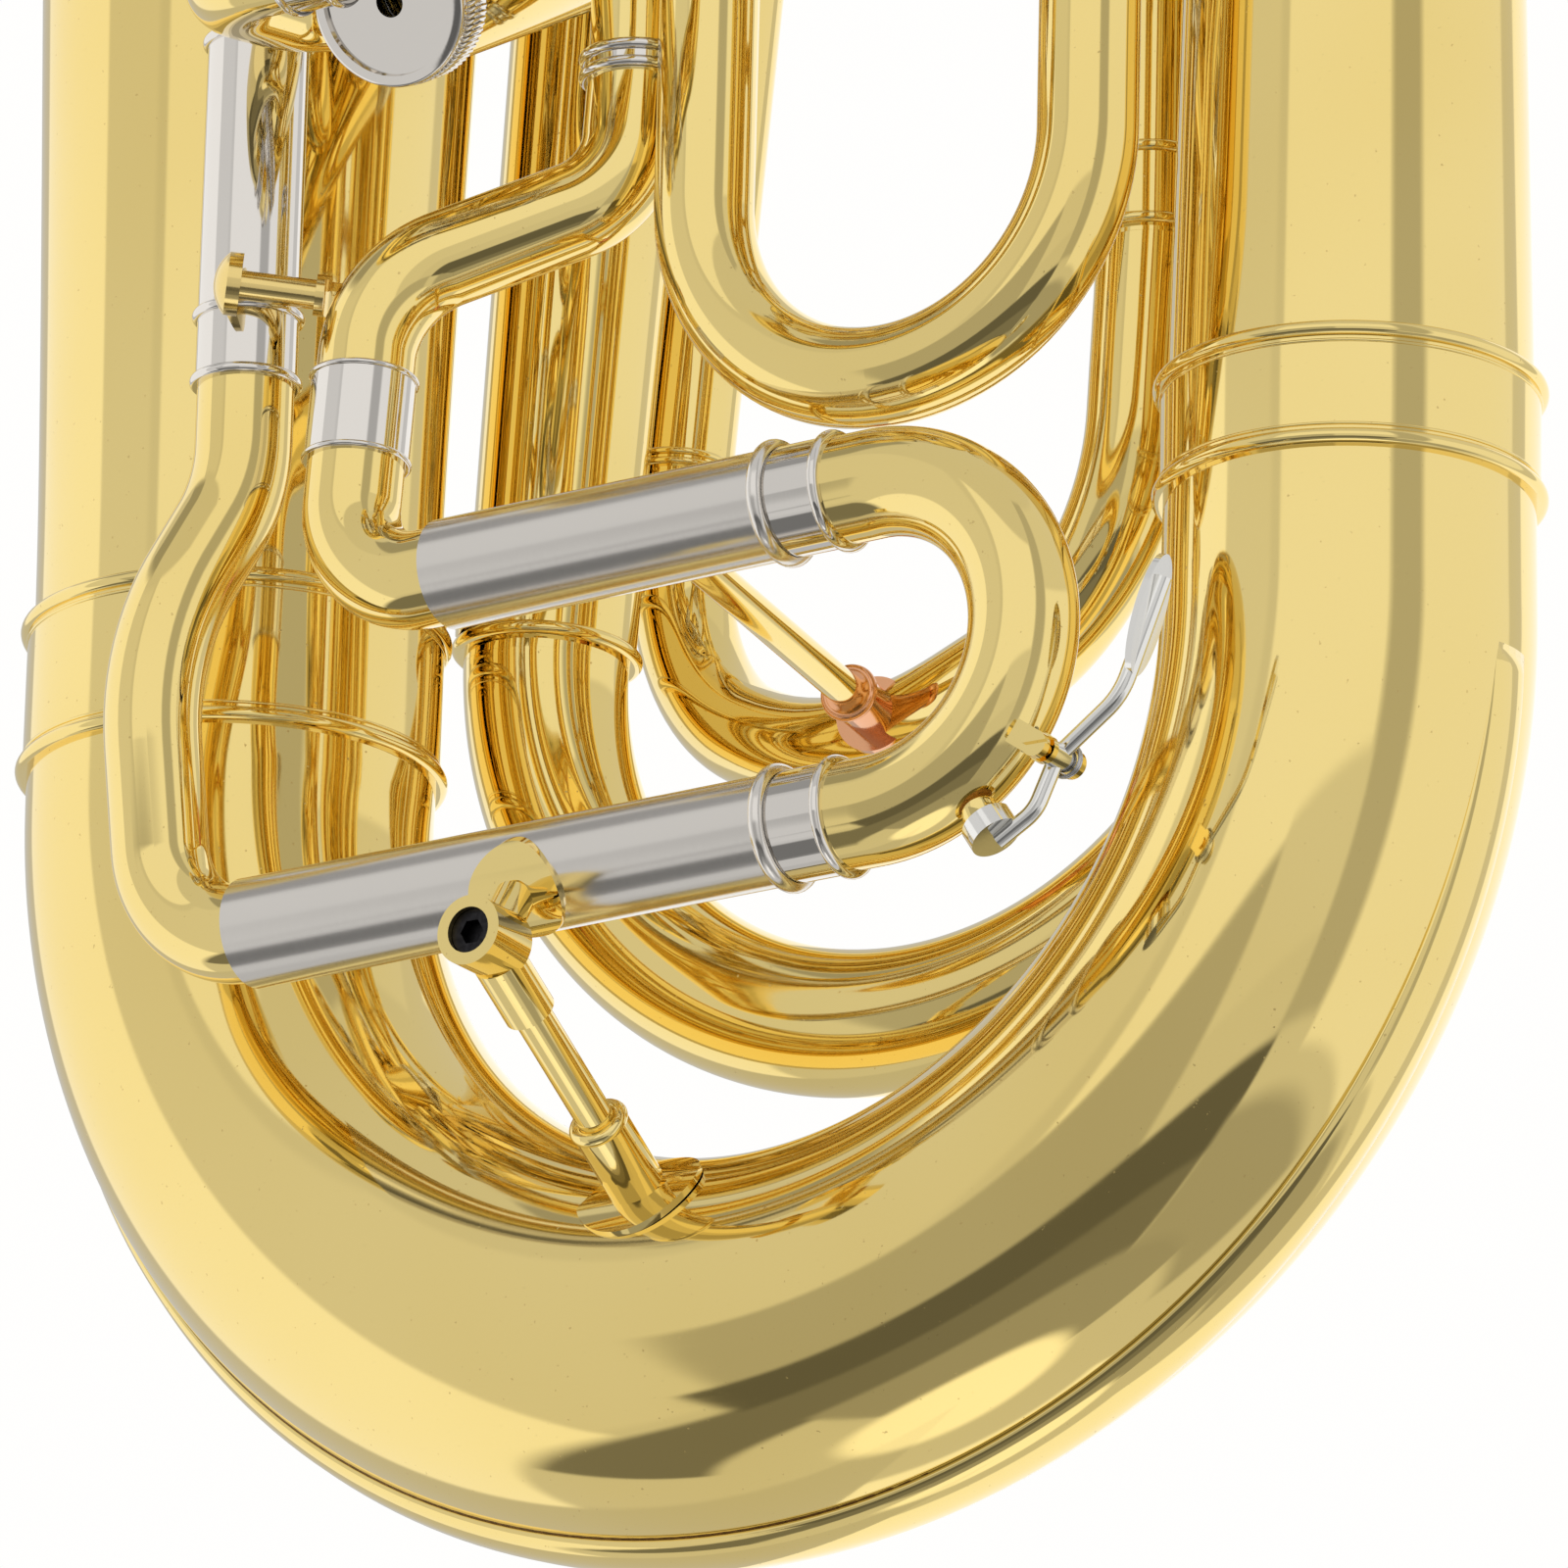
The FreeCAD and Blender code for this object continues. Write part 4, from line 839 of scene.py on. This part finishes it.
ribs_tree, rib_inputs = knurl_tree(bright_nickel)
knurl = bake_nodes(ribs_tree, {rib_inputs["Rib Count"]: 84, rib_inputs["Ring Radius"]: 0.01685,
                               rib_inputs["Rib Width"]: 0.00045, rib_inputs["Rib Length"]: 0.0068}, "knurl")
print("knurl faces", len(knurl.polygons))


def cap_shapes(number, foot, axis, hole):
    """A cap's turned body and its ribs, foot at the casing's end."""
    line = [(-4.95, 15.55), (-4.95, 16.3), (-4.6, 16.7), (4.2, 16.7), (4.4, 16.3)] + bead_arc(5.15, 16.3, 0.75, 8)
    line += [(5.9, 14.6), (4.8, 14.4), (4.8, hole), (3.5, hole), (3.5, 14.0), (0.05, 14.0), (0.05, 15.55)]
    centre = valve_base(number) + VALVE_AXIS * foot
    ribs = bmesh.new()
    ribs.from_mesh(knurl)
    turn = Vector(axis).to_track_quat("Z", "Y").to_matrix().to_4x4()
    spot = (centre + Vector(axis) * -0.5 + SHIFT) * MM
    bmesh.ops.transform(ribs, matrix=Matrix.Translation(spot) @ turn, verts=ribs.verts)
    return [spin(centre, axis, line), ribs]


for node, foot, axis, hole in (("top_caps", CASING_LENGTH, VALVE_AXIS, 4.4), ("bottom_caps", 0, -VALVE_AXIS, 3.0)):
    rings(node, node + "_knurled", [s for n in range(1, 5) for s in cap_shapes(n, foot, axis, hole)], bright_nickel)


# %% [markdown]
# Coil springs follow a helix, another rule that Geometry Nodes can draw: a spiral curve is turned
# into wire by sweeping a small circle along it.

# %% Springs
def spring_tree(material):
    tree = bpy.data.node_groups.new("coil_spring", "GeometryNodeTree")
    names = {key: group_input(tree, key, "NodeSocketFloat", value) for key, value in (
        ("Turns", 7.0), ("Coil Radius", 0.01), ("Height", 0.04), ("Wire Radius", 0.0007))}
    tree.interface.new_socket("Geometry", in_out="OUTPUT", socket_type="NodeSocketGeometry")
    add, link = tree.nodes.new, tree.links.new
    inputs, result = add("NodeGroupInput"), add("NodeGroupOutput")
    coil, wire, body = add("GeometryNodeCurveSpiral"), add("GeometryNodeCurvePrimitiveCircle"), add("GeometryNodeCurveToMesh")
    realize, paint = add("GeometryNodeRealizeInstances"), add("GeometryNodeSetMaterial")
    coil.inputs["Resolution"].default_value = 28
    wire.inputs["Resolution"].default_value = 10
    link(inputs.outputs["Turns"], coil.inputs["Rotations"])
    link(inputs.outputs["Coil Radius"], coil.inputs["Start Radius"])
    link(inputs.outputs["Coil Radius"], coil.inputs["End Radius"])
    link(inputs.outputs["Height"], coil.inputs["Height"])
    link(inputs.outputs["Wire Radius"], wire.inputs["Radius"])
    link(coil.outputs["Curve"], body.inputs["Curve"])
    link(wire.outputs["Curve"], body.inputs["Profile Curve"])
    body.inputs["Fill Caps"].default_value = True
    link(body.outputs["Mesh"], realize.inputs["Geometry"])
    link(realize.outputs["Geometry"], paint.inputs["Geometry"])
    paint.inputs["Material"].default_value = material
    link(paint.outputs["Geometry"], result.inputs[0])
    return tree, names


coil_tree, coil_inputs = spring_tree(spring_wire)


def spring(turns, radius, height, wire, foot, axis):
    mesh = bake_nodes(coil_tree, dict(zip((coil_inputs[k] for k in ("Turns", "Coil Radius", "Height", "Wire Radius")),
                                          (turns, radius * MM, height * MM, wire * MM))), "coil")
    shape = bmesh.new()
    shape.from_mesh(mesh)
    turn = Vector(axis).to_track_quat("Z", "Y").to_matrix().to_4x4()
    bmesh.ops.transform(shape, matrix=Matrix.Translation((Vector(foot) + SHIFT) * MM) @ turn, verts=shape.verts)
    bmesh.ops.recalc_face_normals(shape, faces=shape.faces)
    return shape


SPRING_REST, VALVE_STROKE = 41.0, 17.0    # the spring's length, and how far a piston shortens it
for number in range(1, 5):
    foot = valve_base(number) - VALVE_AXIS * 2.6
    mesh = joined_mesh("valve_spring_%d_coil" % number,
                       [spring(6.8, 9.6, SPRING_REST, 0.7, foot, VALVE_AXIS)])
    coil = finish_piece("valve_spring_%d_coil" % number, mesh, spring_wire, "valve_springs" if number == 1 else None,
                        "horn")
    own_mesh(coil)
    print("spring", number, "keeps", round((SPRING_REST - VALVE_STROKE) / SPRING_REST, 3), "of its length")
key_turn = math.radians(-36)
key_reach = bow_half + SLIDE_BOW_R + 6.2
key_pivot = bow_middle + SLIDE_WAY * key_reach * math.cos(key_turn) + bow_top * key_reach * math.sin(key_turn)
rings("water_key_spring", "water_key_spring_coil", [spring(2.0, 3.3, 1.4, 0.3, key_pivot + FRONT * 2.35, FRONT)],
      spring_wire)


# %% [markdown]
# Pistons and finger buttons.  Only the stem, its felt and the button show, so the piston keeps its
# frame shape and gets a finish, while the button is turned with a dished top.

# %% Pistons and buttons
for number in range(1, 5):
    polished_copy("piston_%d" % number, "piston_%d_and_stem" % number, satin_nickel)
    low = CASING_LENGTH + 24
    dish = [(low + 5.3 + 0.85 * (k / 8) ** 2, 8.6 * k / 8) for k in range(1, 9)]
    button = [(low + 0.05, 0.3), (low + 0.05, 9.4), (low + 0.5, 9.95), (low + 4.0, 9.95)]
    button += [(low + 5.2 + 1.15 * math.sin(a), 9.4 + 1.15 * math.cos(a)) for a in
               (math.radians(-60 + 25 * k) for k in range(7))] + dish[::-1] + [(low + 5.3, 0.3)]
    rings("finger_button_%d" % number, "finger_button_%d_dished" % number,
          [spin(valve_base(number), VALVE_AXIS, button)], silver_plate)

# %% [markdown]
# The studio.  Brass shows its surroundings, so the room is drawn as a plain white one with a few
# soft panels: each is a patch of the sky given by its compass bearing from the horn (0 is towards
# the camera, plus is to its right) and its height, in degrees.  Bright panels draw the cream and
# white stripes, the gaps between them the olive ones, and the dark patch low in front is the floor
# of the room, which the bottom bow mirrors.

# %% Studio room
FACE = Vector((back.x, back.y, 0)).normalized()          # level, from the horn to the camera
side = Vector((-FACE.y, FACE.x, 0))                      # level, to the camera's right
world = bpy.data.worlds.new("studio_room")
scene.world = world
room = Finish(world)
way = room.node("ShaderNodeTexCoord", output=0)
to_front = room.node("ShaderNodeVectorMath", {"operation": "DOT_PRODUCT"}, {0: way, 1: tuple(FACE)}, output=1)
to_right = room.node("ShaderNodeVectorMath", {"operation": "DOT_PRODUCT"}, {0: way, 1: tuple(side)}, output=1)
bearing = to_right.math("ARCTAN2", to_front) * math.degrees(1)
height = room.node("ShaderNodeSeparateXYZ", {}, {0: way}, output=2).math("ARCSINE") * math.degrees(1)
PANELS = [  # bearing from and to, height from and to, softness of the edge, brightness
    (-200, -146, -90, 90, 6, 0.58), (-146, -84, -42, 42, 3, 1.02), (-84, -52, -40, 40, 4, 0.72),
    (-46, 22, 0, 42, 2.5, 0.92), (-12, 24, -18, 2, 3, 0.70), (-62, -12, -32, 0, 3, 0.46),
    (24, 42, -30, 62, 3, 0.48), (44, 112, -34, 26, 3, 0.90), (44, 112, 26, 60, 4, 0.72),
    (128, 200, -60, 50, 3, 1.08), (-110, -76, 44, 66, 4, 0.36), (-116, 24, -62, -44, 3, 0.20),
    (-66, 26, -46, -31, 2.5, 0.13), (24, 96, -62, -40, 5, 0.40), (-66, 70, -76, -60, 3, 0.36)]
level = 0.66
for left, right, low, high, soft, bright in PANELS:
    mask = (bearing.above(left - soft / 2, left + soft / 2) * (1.0 - bearing.above(right - soft / 2, right + soft / 2))
            * height.above(low - soft / 2, low + soft / 2) * (1.0 - height.above(high - soft / 2, high + soft / 2)))
    level = level * (1.0 - mask) + mask * bright
level = level + (1.0 - height.above(-78, -74)) * 0.5
seen = room.node("ShaderNodeLightPath", output=0)
glow = room.node("ShaderNodeBackground", {}, {"Color": (1.0, 0.995, 0.985, 1.0),
                                              "Strength": level * (1.0 - seen) + seen})
room.node("ShaderNodeOutputWorld", {}, {"Surface": glow})
print("panels", len(PANELS))


# %% [markdown]
# Three area lights add soft shading to what isn't polished.  They are hidden from reflections, so
# the mirrors see only the room.

# %% Soft lights and floor
def soft_panel(name, where, width, tall, power, aim=Vector((0, 0, 0.25))):
    light = bpy.data.lights.new(name, "AREA")
    light.shape, light.size, light.size_y, light.energy = "RECTANGLE", width, tall, power
    panel = bpy.data.objects.new(name, light)
    panel.matrix_world = Matrix.Translation(where) @ (where - aim).to_track_quat("Z", "Y").to_matrix().to_4x4()
    panel.visible_glossy = False
    scene.collection.objects.link(panel)
    return panel


soft_panel("left_panel", side * -1.9 + FACE * 0.35 + UP * 0.35, 0.9, 3.0, 8)
soft_panel("right_panel", side * 1.9 + FACE * 0.45 + UP * 0.35, 0.9, 3.0, 8)
soft_panel("top_panel", FACE * 0.7 + UP * 2.6, 2.2, 1.6, 30)


def pale_floor(reach, tone):
    """A pale floor under the guard strip; its underside lets the low camera look through."""
    mesh = bpy.data.meshes.new("pale_floor")
    corners = [(-reach, -reach), (reach, -reach), (reach, reach), (-reach, reach)]
    mesh.from_pydata([(x, y, -0.0005) for x, y in corners], [], [(0, 1, 2, 3)])
    f = new_finish("pale_floor")
    colour = f.blend(f.noise(1.5, 2.0).above(0.2, 0.8), tone, tuple(c * 0.985 for c in tone))
    paint = f.node("ShaderNodeBsdfPrincipled", {}, {"Base Color": colour, "Roughness": 0.8})
    below = f.node("ShaderNodeNewGeometry", output=6)
    clear = f.node("ShaderNodeBsdfTransparent")
    f.node("ShaderNodeOutputMaterial", {}, {"Surface": f.node("ShaderNodeMixShader", {}, {0: below, 1: paint, 2: clear})})
    mesh.materials.append(f.owner)
    floor = bpy.data.objects.new("pale_floor", mesh)
    floor.visible_glossy = False
    scene.collection.objects.link(floor)


pale_floor(14.0, (0.93, 0.925, 0.915))
